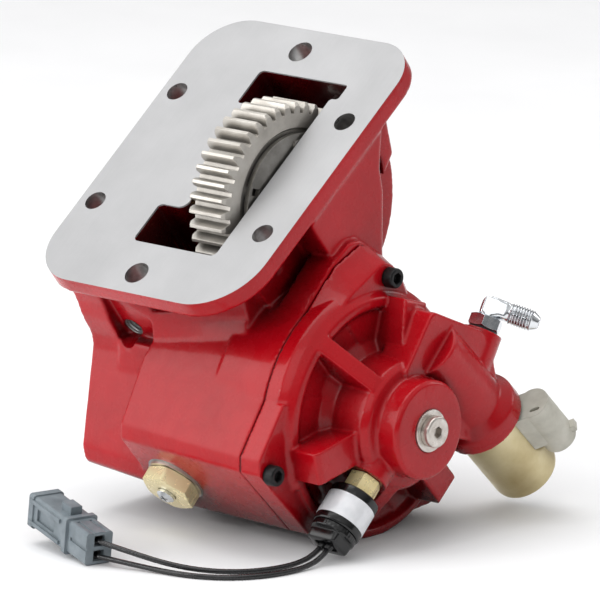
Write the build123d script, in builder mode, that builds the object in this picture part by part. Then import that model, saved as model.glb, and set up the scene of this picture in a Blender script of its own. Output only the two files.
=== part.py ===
from build123d import *
import math
import os

os.makedirs("parts", exist_ok=True)

# ---------------------------------------------------------------- driving dimensions (mm)
TILT = 38.1                      # mounting face: angle of its long axis above the horizontal
ST, CT = math.sin(math.radians(TILT)), math.cos(math.radians(TILT))
FLOOR = -176.0                   # level the unit rests on

# mounting face, six bolts: two rows of two, and one at each end
BOLT_W, BOLT_SIDE, BOLT_END = 111.12, 74.6, 149.2
HOLE_SIDE_R, HOLE_END_R = 5.6, 6.4
PLATE_T = 10.0

# gears: module 2.25, 42 and 46 teeth, centres 99.0 apart on one vertical line
MOD, Z_IN, Z_OUT = 2.25, 42, 46
YC, ZC = 15.6, -117.3            # clutch and output shaft axis
ZI = ZC + MOD * (Z_IN + Z_OUT) / 2   # input gear axis, same y
GEAR_X0, GEAR_X1 = 10.5, 33.5
PHASE_IN = 67.8                  # a tooth's angle from +Y

X_PART = 73.0                    # housing face under the cover
GASKET_T = 0.8
X_COVER = X_PART + GASKET_T
X_CAP = 124.0                    # end face of the cover's cap
R_RIM = 65.5                     # cover rim
R_CAP = 24.5
R_CHAMBER = 55.0

X_REAR = -50.0                   # pump face
PILOT_R, PILOT_DEPTH = 41.275, 7.0
PUMP_PCD, PUMP_HOLE_R, PUMP_ANGLE = 106.4, 4.25, 20.0

# cover screws: y, z of each
SCREWS = [(-57.6, -132.0), (27.6, -49.2), (59.3, -160.0)]
X_EAR = 86.0                     # screw seats


IDLER_R = 12.0
DRAIN = (12.7, -44.3, -148.7)     # centre of the drain plug's seat
DOWELS = [(YC + 60.3 * math.cos(math.radians(a)), ZC + 60.3 * math.sin(math.radians(a))) for a in (152, 22)]
DRAIN_N = (0, -math.sqrt(0.5), -math.sqrt(0.5))


def tn(t, n):
    """y, z of a point given along the mounting face (t) and out of it (n)"""
    return (t * CT - n * ST, t * ST + n * CT)


def flange_plane(n):
    return Plane(origin=(0, *tn(0, n)), x_dir=(1, 0, 0), z_dir=(0, -ST, CT))


def yz(x):
    return Plane(origin=(x, 0, 0), x_dir=(0, 1, 0), z_dir=(1, 0, 0))


def polar(r, a):
    return (YC + r * math.cos(math.radians(a)), ZC + r * math.sin(math.radians(a)))


def axis_plane(origin, direction, x_dir=(1, 0, 0)):
    return Plane(origin=origin, x_dir=x_dir, z_dir=direction)


def gear_outline(z, phase, backlash=0.16, tip=1.0, root=1.38, steps=5):
    """closed outline of a spur gear with involute flanks; phase is one tooth's angle"""
    rp = MOD * z / 2
    rb = rp * math.cos(math.radians(20))
    ra, rf = rp + MOD * tip, rp - MOD * root
    inv20 = math.tan(math.radians(20)) - math.radians(20)
    half = math.pi / (2 * z) - backlash / (2 * rp) + inv20
    radii = [max(rb, rf) + (ra - max(rb, rf)) * i / steps for i in range(steps + 1)]
    flank = []
    for r in radii:
        a = math.acos(min(1.0, rb / r))
        flank.append((r, half - (math.tan(a) - a)))
    if rf < rb:
        flank.insert(0, (rf, flank[0][1]))
    pts = []
    for k in range(z):
        c = math.radians(phase) + 2 * math.pi * k / z
        pts += [(r * math.cos(c - h), r * math.sin(c - h)) for r, h in flank]
        pts += [(r * math.cos(c + h), r * math.sin(c + h)) for r, h in reversed(flank)]
    return pts


# the two gears mesh at the line between their centres
P_IN, P_OUT = 360 / Z_IN, 360 / Z_OUT
_off = (270 - PHASE_IN) % P_IN                      # tooth this far short of straight down
PHASE_OUT = 90 + _off * Z_IN / Z_OUT + P_OUT / 2

# ================================================================= housing
with BuildPart() as housing:
    # mounting plate
    with BuildSketch(flange_plane(0)):
        with BuildLine():
            FilletPolyline((-65.5, -87.0), (70.0, -87.0), (70.0, 89.0), (-65.5, 89.0), radius=[27, 33, 24, 27], close=True)
        make_face()
    extrude(amount=-PLATE_T)
    # neck under the plate: wide on the rear, narrower towards the cover
    with BuildSketch(yz(-50)):
        with BuildLine():
            Polyline(tn(-79, -4), tn(-81, -24), (-45.5, -76.7), (-38.8, -87.2), (-37.4, -94.0), (-37.4, -105), (60, -105), tn(64, -30), tn(64, -4), close=True)
        make_face()
    with BuildSketch(yz(-31)):
        with BuildLine():
            Polyline(tn(-79, -4), tn(-81, -24), (-45.5, -76.7), (-38.8, -87.2), (-37.4, -94.0), (-37.4, -105), (60, -105), tn(64, -30), tn(64, -4), close=True)
        make_face()
    loft(ruled=True)
    with BuildSketch(yz(-31)):
        with BuildLine():
            Polyline(tn(-79, -4), tn(-80, -24), (-44.5, -77.5), (-41.5, -87.5), (-42, -94.0), (-37.4, -105), (60, -105), tn(64, -30), tn(64, -4), close=True)
        make_face()
    with BuildSketch(yz(48)):
        with BuildLine():
            Polyline(tn(-60, -4), tn(-61, -20), (-31.0, -66.0), (-34.0, -76.0), (-42, -94.0), (-37.4, -105), (60, -105), tn(64, -30), tn(64, -4), close=True)
        make_face()
    loft(ruled=True)
    # round wall over the input gear
    with BuildSketch(yz(-31)):
        with Locations((YC, ZI)):
            Circle(55.4)
    extrude(amount=82)
    # pillar between the plate's edge and the cover
    with BuildSketch(yz(40)):
        with BuildLine():
            Polyline(tn(-19.5, -4), tn(-19.5, -40), (4, -60), (44, -66), (44, -12), (41.5, 0), tn(45, -12), tn(45, -4), close=True)
        make_face()
    extrude(amount=28.5)
    # plate rib on the far side of the pillar
    with BuildSketch(yz(44)):
        with BuildLine():
            Polyline(tn(40, -4), tn(40, -30), (52, -6), (58.5, 4), tn(58, -10), tn(58, -4), close=True)
        make_face()
    extrude(amount=18)
    # main barrel round the clutch
    with BuildSketch(yz(-9)):
        with Locations((YC, ZC)):
            Circle(59.3)
    extrude(amount=X_PART + 9)
    with BuildSketch(yz(-9)):
        with BuildLine():
            Polyline((-34, -76), (-45.5, -92.0), (-61.3, -121.5), (-61.7, -129.3), (-28.8, -166.3), (0, -174.8), (YC, -160), (YC, -80), close=True)
        make_face()
    with BuildSketch(yz(X_PART)):
        with BuildLine():
            Polyline((-33.5, -74.8), (-47.6, -99.5), (-64.5, -124.0), (-64.7, -131.5), (-29.2, -167.2), (0, -175.6), (YC, -160), (YC, -80), close=True)
        make_face()
    loft(ruled=True)
    # upper quarter of the barrel and the far side
    with BuildSketch(yz(-9)):
        with BuildLine():
            Polyline((-30, -80), (60, -60), (76, -95), (76, -140), (60, -162), (31, FLOOR + 0.6), (YC, -150), close=True)
        make_face()
    extrude(amount=60 + 9)
    with BuildSketch(yz(40)):
        with Locations((YC, ZC)):
            Circle(R_RIM)
        with BuildLine():
            Polyline((-80, -143), (YC, -143), (YC, -138), (100, -138), (100, -20), (-80, -20), close=True)
        make_face(mode=Mode.INTERSECT)
    extrude(amount=X_PART - 40)
    with BuildSketch(yz(0)):
        with Locations((YC, ZC)):
            Circle(R_RIM - 1.5)
        with BuildLine():
            Polyline((-60, -95), (YC, -130), (110, -95), (110, -30), (-60, -30), close=True)
        make_face(mode=Mode.INTERSECT)
    extrude(amount=60)
    # raised arch and corner at the top of the cover face
    with BuildSketch(yz(56)):
        with BuildLine():
            FilletPolyline((-27.5, -69.0), (0.5, -41.5), (14, -32.2), (22, -32.2), (36, -41.0), (47.5, -49.5), (54, -58.5), (60, -70.0), (YC, -100), radius=[8, 6, 6, 6, 6, 6, 4, 3, 3], close=True)
        make_face()
    extrude(amount=X_PART - 56)
    # ear for the third cover screw
    with BuildSketch(yz(58)):
        with BuildLine():
            Polyline(polar(R_RIM, 338), (70.5, -156), (68.5, -165.5), (60, -168.5), polar(R_RIM - 8, 292), (YC, -150), close=True)
        make_face()
    extrude(amount=X_PART - 58)
    # rear block that carries the pump
    with BuildSketch(yz(X_REAR)):
        with BuildLine():
            FilletPolyline((-37.4, -92.0), (-45.3, -143.0), (-43.0, -151.3), (0, -165.5), (31.2, -165.5), (74.0, -151.3), (76.3, -143.0), (68.4, -92.0), (40, -70), (-20, -70), radius=[3, 5, 5, 12, 12, 5, 5, 3, 3, 3], close=True)
        make_face()
    with BuildSketch(yz(-5)):
        with BuildLine():
            FilletPolyline((-37.4, -92.0), (-45.3, -146.0), (-43.0, -155.0), (0, -169.0), (31.2, -169.0), (74.0, -155.0), (76.3, -146.0), (68.4, -92.0), (40, -70), (-20, -70), radius=[3, 5, 5, 12, 12, 5, 5, 3, 3, 3], close=True)
        make_face()
    loft(ruled=True)
    # boss round the pump hole that lies next to the block's edge
    with BuildSketch(yz(X_REAR)):
        with Locations(polar(PUMP_PCD / 2, PUMP_ANGLE)):
            Circle(9.8)
    extrude(amount=34)
    # flat underside to stand on
    with BuildSketch(yz(-9)):
        with BuildLine():
            Polyline((0, -171.5), (3.0, FLOOR), (28.2, FLOOR), (31.2, -171.5), close=True)
        make_face()
    extrude(amount=X_PART + 9)
    with BuildSketch(yz(X_REAR - 10)):
        with BuildLine():
            Polyline((-90, FLOOR), (110, FLOOR), (110, FLOOR - 20), (-90, FLOOR - 20), close=True)
        make_face()
    extrude(amount=200, mode=Mode.SUBTRACT)
    # nothing stands above the mounting face
    with BuildSketch(flange_plane(0)):
        Rectangle(260, 300)
    extrude(amount=80, mode=Mode.SUBTRACT)
    # drain boss: machined spot on the 45 degree facet, and its tapped hole
    with BuildSketch(Plane(origin=DRAIN, x_dir=(1, 0, 0), z_dir=DRAIN_N)):
        Circle(15.5)
    extrude(amount=12, mode=Mode.SUBTRACT)
    with BuildSketch(Plane(origin=DRAIN, x_dir=(1, 0, 0), z_dir=DRAIN_N)):
        Circle(8.0)
    extrude(amount=-30, mode=Mode.SUBTRACT)
    # ---- cavities
    # opening in the mounting face
    with BuildSketch(flange_plane(0)):
        with BuildLine():
            FilletPolyline((-16.5, -56.0), (37.6, -56.0), (37.6, 49.5), (42.4, 49.5), (42.4, 59.4), (-15.2, 59.4), (-15.2, 37.2), (0, 37.2), (0, -31.5), (-16.5, -31.5),
                           radius=[3, 3, 2, 2, 2, 3, 2, 3, 5, 3], close=True)
        make_face()
    extrude(amount=-24, mode=Mode.SUBTRACT)
    with BuildSketch(flange_plane(-20)):
        with BuildLine():
            FilletPolyline((-16.5, -56.0), (37.6, -56.0), (37.6, 0), (0, 0), (0, -31.5), (-16.5, -31.5), radius=[3, 3, 2, 2, 5, 3], close=True)
        make_face()
    extrude(amount=-26, mode=Mode.SUBTRACT)
    # input gear chamber
    with BuildSketch(yz(6.5)):
        with Locations((YC, ZI)):
            Circle(51.0)
    extrude(amount=37.6 - 6.5, mode=Mode.SUBTRACT)
    # clutch chamber, open to the cover
    with BuildSketch(yz(6.5)):
        with Locations((YC, ZC)):
            Circle(R_CHAMBER)
    extrude(amount=X_PART - 6.5, mode=Mode.SUBTRACT)
    # idler shaft bore, through from the rear, blind at the cover side
    with BuildSketch(yz(-60)):
        with Locations((YC, ZI)):
            Circle(IDLER_R)
    extrude(amount=60 + 46, mode=Mode.SUBTRACT)
    # rear bearing bore and shaft way
    with BuildSketch(yz(-12.5)):
        with Locations((YC, ZC)):
            Circle(31.0)
    extrude(amount=20, mode=Mode.SUBTRACT)
    with BuildSketch(yz(X_REAR)):
        with Locations((YC, ZC)):
            Circle(21.0)
    extrude(amount=50, mode=Mode.SUBTRACT)
    with BuildSketch(yz(3.6)):
        with Locations((YC, ZC)):
            Circle(32.4)
    extrude(amount=1.8, mode=Mode.SUBTRACT)
    # seal seat
    with BuildSketch(yz(-27)):
        with Locations((YC, ZC)):
            Circle(24.0)
    extrude(amount=10, mode=Mode.SUBTRACT)
    # pump pilot and its tapped holes
    with BuildSketch(yz(X_REAR)):
        with Locations((YC, ZC)):
            Circle(PILOT_R)
    extrude(amount=PILOT_DEPTH, mode=Mode.SUBTRACT)
    with BuildSketch(yz(X_REAR)):
        with Locations(*[polar(PUMP_PCD / 2, PUMP_ANGLE + 180 * k) for k in range(2)]):
            Circle(PUMP_HOLE_R)
    extrude(amount=24, mode=Mode.SUBTRACT)
    # six bolt holes
    with BuildSketch(flange_plane(1)):
        with Locations(*[(sx * BOLT_W / 2, st * BOLT_SIDE / 2) for sx in (-1, 1) for st in (-1, 1)]):
            Circle(HOLE_SIDE_R)
        with Locations((0, BOLT_END / 2), (0, -BOLT_END / 2)):
            Circle(HOLE_END_R)
    extrude(amount=-30, mode=Mode.SUBTRACT)
    # notch round the side port, and the port
    with BuildSketch(yz(-31)):
        with BuildLine():
            Polyline(tn(-77, -PLATE_T), (-31.4, -85.4), (-47, -90.5), tn(-100, -PLATE_T), close=True)
        make_face()
    extrude(amount=23, mode=Mode.SUBTRACT)
    with BuildSketch(yz(-31)):
        with BuildLine():
            Polyline((-38.2, -80), (-60, -80), (-60, -108), (-39.8, -108), close=True)
        make_face()
    extrude(amount=22, mode=Mode.SUBTRACT)
    with BuildSketch(axis_plane((-25.0, *tn(-76, -42.5)), (0, -CT, -ST))):
        Circle(5.0)
    extrude(amount=20, both=True, mode=Mode.SUBTRACT)
    # tapped holes for the cover screws
    with BuildSketch(yz(X_PART)):
        with Locations(*SCREWS):
            Circle(3.0)
    extrude(amount=-22, mode=Mode.SUBTRACT)
    with BuildSketch(yz(X_PART)):
        with Locations(*DOWELS):
            Circle(2.5)
    extrude(amount=-6, mode=Mode.SUBTRACT)
housing.part.label = "housing"
export_step(housing.part, "parts/housing.step")

# ================================================================= gasket and cover
COVER_OUTLINE = [(-47.6, -99.5), (-64.5, -124.0), (-64.7, -131.5), (-29.2, -167.2), (0, -175.6), (YC, -160), (YC, -100)]
EAR_C = [polar(R_RIM, 338), (70.5, -156), (68.5, -165.5), (60, -168.5), polar(R_RIM - 8, 292), (YC, -150)]
LOWER_CUT = [(-80, -143), (YC, -143), (YC, -138), (100, -138), (100, -200), (-80, -200)]

with BuildPart() as gasket:
    with BuildSketch(yz(X_PART)):
        with Locations((YC, ZC)):
            Circle(R_RIM - 0.8)
        with BuildLine():
            Polyline(*LOWER_CUT, close=True)
        make_face(mode=Mode.SUBTRACT)
        with Locations((YC, ZC)):
            Circle(58.2)
        with BuildLine():
            Polyline((-46.6, -100), (-63.9, -124.4), (-64.1, -131.3), (-29.0, -166.5), (2, -174.6), (YC, -160), (YC, -100), close=True)
        make_face()
        with BuildLine():
            Polyline(polar(R_RIM - 0.8, 338.5), (69.7, -156.2), (67.8, -165.0), (60, -167.8), polar(R_RIM - 9, 292), (YC, -150), close=True)
        make_face()
        with BuildLine():
            Polyline((-18.0, -64.0), (2, -44.5), (22, -38), (36, -42.2), (46.5, -50.5), (58.5, -70.0), (YC, -100), close=True)
        make_face()
        with Locations((YC, ZC)):
            Circle(R_CHAMBER, mode=Mode.SUBTRACT)
        with Locations(*SCREWS):
            Circle(3.4, mode=Mode.SUBTRACT)
        with Locations(*DOWELS):
            Circle(2.6, mode=Mode.SUBTRACT)
    extrude(amount=GASKET_T)
gasket.part.label = "cover_gasket"
export_step(gasket.part, "parts/cover_gasket.step")

AXIS = Axis((0, YC, ZC), (1, 0, 0))


def radial(angle):
    """plane through the clutch axis; x along the axis, y outwards at this angle"""
    a = math.radians(angle)
    return Plane(origin=(0, YC, ZC), x_dir=(1, 0, 0), z_dir=(0, -math.sin(a), math.cos(a)))


VALVE_D = (0, 0.714, -0.700)                  # valve axis, out of its bore
VALVE_O = (104.0, 77.9, -126.0)               # centre of the valve bore's mouth
PORT_D = (0, 0.510, 0.860)
PORT_O = (104.0, 76.6, -82.0)                 # centre of the oil port's mouth
SWITCH_D = (0, -0.72, -0.694)
SWITCH_O = (104.0, -8.0, -140.3)              # centre of the switch port's mouth


def along(o, d, s):
    return tuple(o[i] + d[i] * s for i in range(3))


with BuildPart() as cover:
    # rim, bowl and centre boss, turned about the shaft axis
    with BuildSketch(Plane(origin=(0, YC, ZC), x_dir=(1, 0, 0), z_dir=(0, 0, 1))):
        with BuildLine():
            Polyline((X_COVER, 0), (X_COVER, R_RIM), (81.5, R_RIM), (85.0, 63.2), (88.6, 59.5), (89.0, 55.5), (85.2, 52.0), (85.2, 40.0),
                     (89.6, 33.4), (107.5, 32.0), (110.3, 29.6), (111.5, R_CAP), (X_CAP - 1.6, R_CAP), (X_CAP, R_CAP - 1.6), (X_CAP, 0), close=True)
        make_face()
    revolve(axis=AXIS)
    # the rim draws in round the lower half
    with BuildSketch(yz(X_COVER - 1)):
        with BuildLine():
            Polyline(*LOWER_CUT, close=True)
        make_face()
        with Locations((YC, ZC)):
            Circle(59.0, mode=Mode.SUBTRACT)
    extrude(amount=25, mode=Mode.SUBTRACT)
    # lower left corner and the three screw ears
    with BuildSketch(yz(X_COVER)):
        with BuildLine():
            Polyline(*COVER_OUTLINE, close=True)
        make_face()
    extrude(amount=X_EAR - X_COVER)
    with BuildSketch(yz(X_COVER)):
        with BuildLine():
            Polyline(*EAR_C, close=True)
        make_face()
    extrude(amount=X_EAR - X_COVER)
    with BuildSketch(yz(X_COVER)):
        with BuildLine():
            Polyline((-24, -67), (2, -42.0), (20, -34.0), (26, -35.2), (36, -41.4), (47.0, -50.2), (54, -59.5), (59, -70), (YC, -90), close=True)
        make_face()
    with BuildSketch(yz(X_EAR)):
        with BuildLine():
            Polyline((-8, -60), (2, -53.0), (21, -43.0), (25, -41.6), (33.2, -46.0), (38.8, -54.0), (41, -59.0), (44, -66), (YC, -90), close=True)
        make_face()
    loft(ruled=True)
    # thick webs inside the ears
    for angle, r_out, x_out in ((74, 60.0, 101.0), (192, 60.0, 104.5), (312.5, 55.0, 104.0)):
        with BuildSketch(radial(angle)):
            with BuildLine():
                Polyline((80, 20), (104.5, 20), (104.5, 34), (x_out, r_out - 3), (x_out - 1, r_out), (84, r_out), (80, 58), close=True)
            make_face()
        extrude(amount=8.2, both=True)
    # thin webs between them
    for angle in (131, 252):
        with BuildSketch(radial(angle)):
            with BuildLine():
                Polyline((80, 20), (108.5, 20), (108.5, 31.5), (90.0, 58), (88, 60), (80, 60), close=True)
            make_face()
        extrude(amount=4.6, both=True)
    # valve block, its bore and the oil port
    with BuildSketch(yz(93)):
        with BuildLine():
            FilletPolyline((30, -62.5), (46, -69.5), (67, -78.5), (75.5, -96.0), (80, -112), (74, -124), (58, -132), (26, -122), (10, -90), radius=[4, 5, 6, 9, 8, 8, 6, 6, 4], close=True)
        make_face()
    extrude(amount=20)
    with BuildSketch(yz(82)):
        with BuildLine():
            Polyline((45, -72), (62, -80), (68, -100), (66, -125), (YC, -125), (YC, -90), close=True)
        make_face()
    extrude(amount=14)
    with BuildSketch(Plane(origin=along(VALVE_O, VALVE_D, -62), x_dir=(1, 0, 0), z_dir=VALVE_D)):
        Circle(17.0)
    extrude(amount=56)
    with BuildSketch(Plane(origin=along(VALVE_O, VALVE_D, -9), x_dir=(1, 0, 0), z_dir=VALVE_D)):
        Circle(21.3)
    extrude(amount=9)
    with BuildSketch(Plane(origin=along(VALVE_O, VALVE_D, -15), x_dir=(1, 0, 0), z_dir=VALVE_D)):
        Circle(17.0)
    with BuildSketch(Plane(origin=along(VALVE_O, VALVE_D, -8.9), x_dir=(1, 0, 0), z_dir=VALVE_D)):
        Circle(21.3)
    loft()
    with BuildSketch(Plane(origin=along(PORT_O, PORT_D, -34), x_dir=(1, 0, 0), z_dir=PORT_D)):
        Circle(10.2)
    extrude(amount=34)
    # switch port
    with BuildSketch(Plane(origin=along(SWITCH_O, SWITCH_D, -26), x_dir=(1, 0, 0), z_dir=SWITCH_D)):
        Circle(10.6)
    extrude(amount=26)
    # ---- bores
    with BuildSketch(Plane(origin=(0, YC, ZC), x_dir=(1, 0, 0), z_dir=(0, 0, 1))):
        with BuildLine():
            Polyline((X_COVER - 1, 0), (X_COVER - 1, 51.0), (79.6, 51.0), (79.6, 40), (84.5, 30), (86, 30), (86, 26.0), (101, 26.0), (101, 19), (103, 19), (103, 12.6), (114, 12.6), (114, 5.0),
                     (X_CAP + 1, 5.0), (X_CAP + 1, 0), close=True)
        make_face()
    revolve(axis=AXIS, mode=Mode.SUBTRACT)
    # seat of the end plug's washer
    with BuildSketch(yz(X_CAP - 0.6)):
        with Locations((YC, ZC)):
            Circle(10.8)
    extrude(amount=2, mode=Mode.SUBTRACT)
    # stepped bore of the valve
    with BuildSketch(Plane(origin=along(VALVE_O, VALVE_D, 1), x_dir=(1, 0, 0), z_dir=VALVE_D)):
        Circle(9.0)
    extrude(amount=-31, mode=Mode.SUBTRACT)
    with BuildSketch(Plane(origin=along(VALVE_O, VALVE_D, -25), x_dir=(1, 0, 0), z_dir=VALVE_D)):
        Circle(6.5)
    extrude(amount=-22, mode=Mode.SUBTRACT)
    # oil port and switch port, each with its drilling
    with BuildSketch(Plane(origin=along(PORT_O, PORT_D, 1), x_dir=(1, 0, 0), z_dir=PORT_D)):
        Circle(5.6)
    extrude(amount=-14, mode=Mode.SUBTRACT)
    with BuildSketch(Plane(origin=along(PORT_O, PORT_D, 1), x_dir=(1, 0, 0), z_dir=PORT_D)):
        Circle(2.5)
    extrude(amount=-34, mode=Mode.SUBTRACT)
    with BuildSketch(Plane(origin=along(SWITCH_O, SWITCH_D, 1), x_dir=(1, 0, 0), z_dir=SWITCH_D)):
        Circle(4.8)
    extrude(amount=-7.8, mode=Mode.SUBTRACT)
    # clear room for the coil
    with BuildSketch(Plane(origin=along(VALVE_O, VALVE_D, 0), x_dir=(1, 0, 0), z_dir=VALVE_D)):
        Circle(17.9)
    extrude(amount=50, mode=Mode.SUBTRACT)
    with BuildSketch(Plane(origin=along(SWITCH_O, SWITCH_D, 1), x_dir=(1, 0, 0), z_dir=SWITCH_D)):
        Circle(2.0)
    extrude(amount=-26, mode=Mode.SUBTRACT)
    # cover screw holes, with clear room over each head
    with BuildSketch(yz(X_COVER - 1)):
        with Locations(*SCREWS):
            Circle(3.4)
    extrude(amount=30, mode=Mode.SUBTRACT)
    with BuildSketch(yz(X_EAR)):
        with Locations(*SCREWS):
            Circle(5.9)
    extrude(amount=30, mode=Mode.SUBTRACT)
    with BuildSketch(yz(X_COVER - 1)):
        with Locations(*DOWELS):
            Circle(2.5)
    extrude(amount=6.5, mode=Mode.SUBTRACT)
    with BuildSketch(yz(X_COVER - 10)):
        with BuildLine():
            Polyline((-90, FLOOR), (110, FLOOR), (110, FLOOR - 20), (-90, FLOOR - 20), close=True)
        make_face()
    extrude(amount=80, mode=Mode.SUBTRACT)
cover.part.label = "clutch_cover"
export_step(cover.part, "parts/clutch_cover.step")

# ================================================================= cover screws
with BuildPart() as cover_screws:
    with BuildSketch(yz(X_EAR - 32)):
        with Locations(*SCREWS):
            Circle(2.95)
    extrude(amount=32)
    with BuildSketch(yz(X_EAR)):
        with Locations(*SCREWS):
            Circle(5.0)
    extrude(amount=6.0)
    with BuildSketch(yz(X_EAR + 6.0)):
        with Locations(*SCREWS):
            RegularPolygon(2.5, 6, major_radius=False)
    extrude(amount=-3.2, mode=Mode.SUBTRACT)
cover_screws.part.label = "cover_screws"
export_step(cover_screws.part, "parts/cover_screws.step")

# ================================================================= end plug and washer
with BuildPart() as end_plug_washer:
    with BuildSketch(yz(X_CAP - 0.6)):
        with Locations((YC, ZC)):
            Circle(10.5)
            Circle(5.1, mode=Mode.SUBTRACT)
    extrude(amount=1.4)
end_plug_washer.part.label = "end_plug_washer"
export_step(end_plug_washer.part, "parts/end_plug_washer.step")

with BuildPart() as end_plug:
    with BuildSketch(Plane(origin=(0, YC, ZC), x_dir=(1, 0, 0), z_dir=(0, 0, 1))):
        with BuildLine():
            Polyline((X_CAP - 9, 0), (X_CAP - 9, 4.95), (X_CAP + 0.8, 4.95), (X_CAP + 0.8, 7.8), (X_CAP + 4.6, 7.8), (X_CAP + 5.4, 7.0), (X_CAP + 5.4, 0), close=True)
        make_face()
    revolve(axis=AXIS)
    with BuildSketch(yz(X_CAP + 5.4)):
        with Locations((YC, ZC)):
            RegularPolygon(2.5, 6, major_radius=False)
    extrude(amount=-4.0, mode=Mode.SUBTRACT)
end_plug.part.label = "end_plug"
export_step(end_plug.part, "parts/end_plug.step")

AXIS_IN = Axis((0, YC, ZI), (1, 0, 0))

# ================================================================= dowel pins
with BuildPart() as dowel_pins:
    with BuildSketch(yz(X_PART - 5.5)):
        with Locations(*DOWELS):
            Circle(2.48)
            Circle(1.2, mode=Mode.SUBTRACT)
    extrude(amount=10.5)
dowel_pins.part.label = "dowel_pins"
export_step(dowel_pins.part, "parts/dowel_pins.step")

# ================================================================= input gear
with BuildPart() as input_gear:
    with BuildSketch(Plane(origin=(GEAR_X0, YC, ZI), x_dir=(0, 1, 0), z_dir=(1, 0, 0))):
        with BuildLine():
            Polyline(*gear_outline(Z_IN, PHASE_IN), close=True)
        make_face()
        Circle(15.53, mode=Mode.SUBTRACT)
    extrude(amount=GEAR_X1 - GEAR_X0)
    # both ends of the teeth are bevelled
    with BuildSketch(Plane(origin=(0, YC, ZI), x_dir=(1, 0, 0), z_dir=(0, 0, 1))):
        with BuildLine():
            Polyline((GEAR_X0, 0), (GEAR_X0, 47.5), (GEAR_X0 + 1.4, 50.0), (GEAR_X1 - 1.4, 50.0), (GEAR_X1, 47.5), (GEAR_X1, 0), close=True)
        make_face()
    revolve(axis=AXIS_IN, mode=Mode.INTERSECT)
    # turned recess in each face
    with BuildSketch(Plane(origin=(0, YC, ZI), x_dir=(1, 0, 0), z_dir=(0, 0, 1))):
        with BuildLine():
            Polyline((GEAR_X1 - 1.2, 20.0), (GEAR_X1 - 1.2, 36.0), (GEAR_X1 + 1, 38.0), (GEAR_X1 + 1, 20.0), close=True)
        make_face()
    revolve(axis=AXIS_IN, mode=Mode.SUBTRACT)
    with BuildSketch(Plane(origin=(0, YC, ZI), x_dir=(1, 0, 0), z_dir=(0, 0, 1))):
        with BuildLine():
            Polyline((GEAR_X0 + 1.2, 20.0), (GEAR_X0 + 1.2, 36.0), (GEAR_X0 - 1, 38.0), (GEAR_X0 - 1, 20.0), close=True)
        make_face()
    revolve(axis=AXIS_IN, mode=Mode.SUBTRACT)
input_gear.part.label = "input_gear"
export_step(input_gear.part, "parts/input_gear.step")

# ================================================================= input shaft
with BuildPart() as input_shaft:
    with BuildSketch(Plane(origin=(0, YC, ZI), x_dir=(1, 0, 0), z_dir=(0, 0, 1))):
        with BuildLine():
            Polyline((-44, 0), (-44, 10.8), (-42.8, IDLER_R - 0.01), (44.6, IDLER_R - 0.01), (45.8, 10.8), (45.8, 0), close=True)
        make_face()
    revolve(axis=AXIS_IN)
    # oil groove under the rollers
    with BuildSketch(Plane(origin=(0, YC, ZI), x_dir=(1, 0, 0), z_dir=(0, 0, 1))):
        with BuildLine():
            Polyline((21, 13), (21, 11.2), (23, 11.2), (23, 13), close=True)
        make_face()
    revolve(axis=AXIS_IN, mode=Mode.SUBTRACT)
    # puller hole in the rear end
    with BuildSketch(yz(-44)):
        with Locations((YC, ZI)):
            Circle(3.3)
    extrude(amount=14, mode=Mode.SUBTRACT)
input_shaft.part.label = "input_shaft"
export_step(input_shaft.part, "parts/input_shaft.step")

# ================================================================= needle rollers
with BuildPart() as needle_rollers:
    with BuildSketch(yz(12.4)):
        with Locations((YC, ZI)):
            with PolarLocations(13.76, 24):
                Circle(1.73)
    extrude(amount=19.2)
needle_rollers.part.label = "needle_rollers"
export_step(needle_rollers.part, "parts/needle_rollers.step")

# ================================================================= gear thrust ring
with BuildPart() as thrust_ring:
    with BuildSketch(yz(33.8)):
        with Locations((YC, ZI)):
            Circle(34.7)
            Circle(12.3, mode=Mode.SUBTRACT)
    extrude(amount=2.6)
    # raised tab with a slot, against the housing wall
    with BuildSketch(yz(33.8)):
        with Locations((YC + 2.0, ZI + 25.0)):
            Rectangle(7.0, 13.0)
    extrude(amount=3.6)
    with BuildSketch(yz(33.8)):
        with Locations((YC + 2.0, ZI + 25.0)):
            Rectangle(3.0, 8.0)
    extrude(amount=3.6, mode=Mode.SUBTRACT)
    with BuildSketch(yz(33.8)):
        with Locations((YC - 29.0, ZI + 10.0)):
            Rectangle(5.0, 3.6, rotation=-18)
    extrude(amount=3.6, mode=Mode.SUBTRACT)
thrust_ring.part.label = "gear_thrust_ring"
export_step(thrust_ring.part, "parts/gear_thrust_ring.step")

# ================================================================= rear thrust washer
with BuildPart() as thrust_washer:
    with BuildSketch(yz(6.7)):
        with Locations((YC, ZI)):
            Circle(24.0)
            Circle(12.3, mode=Mode.SUBTRACT)
    extrude(amount=3.6)
thrust_washer.part.label = "rear_thrust_washer"
export_step(thrust_washer.part, "parts/rear_thrust_washer.step")

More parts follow.
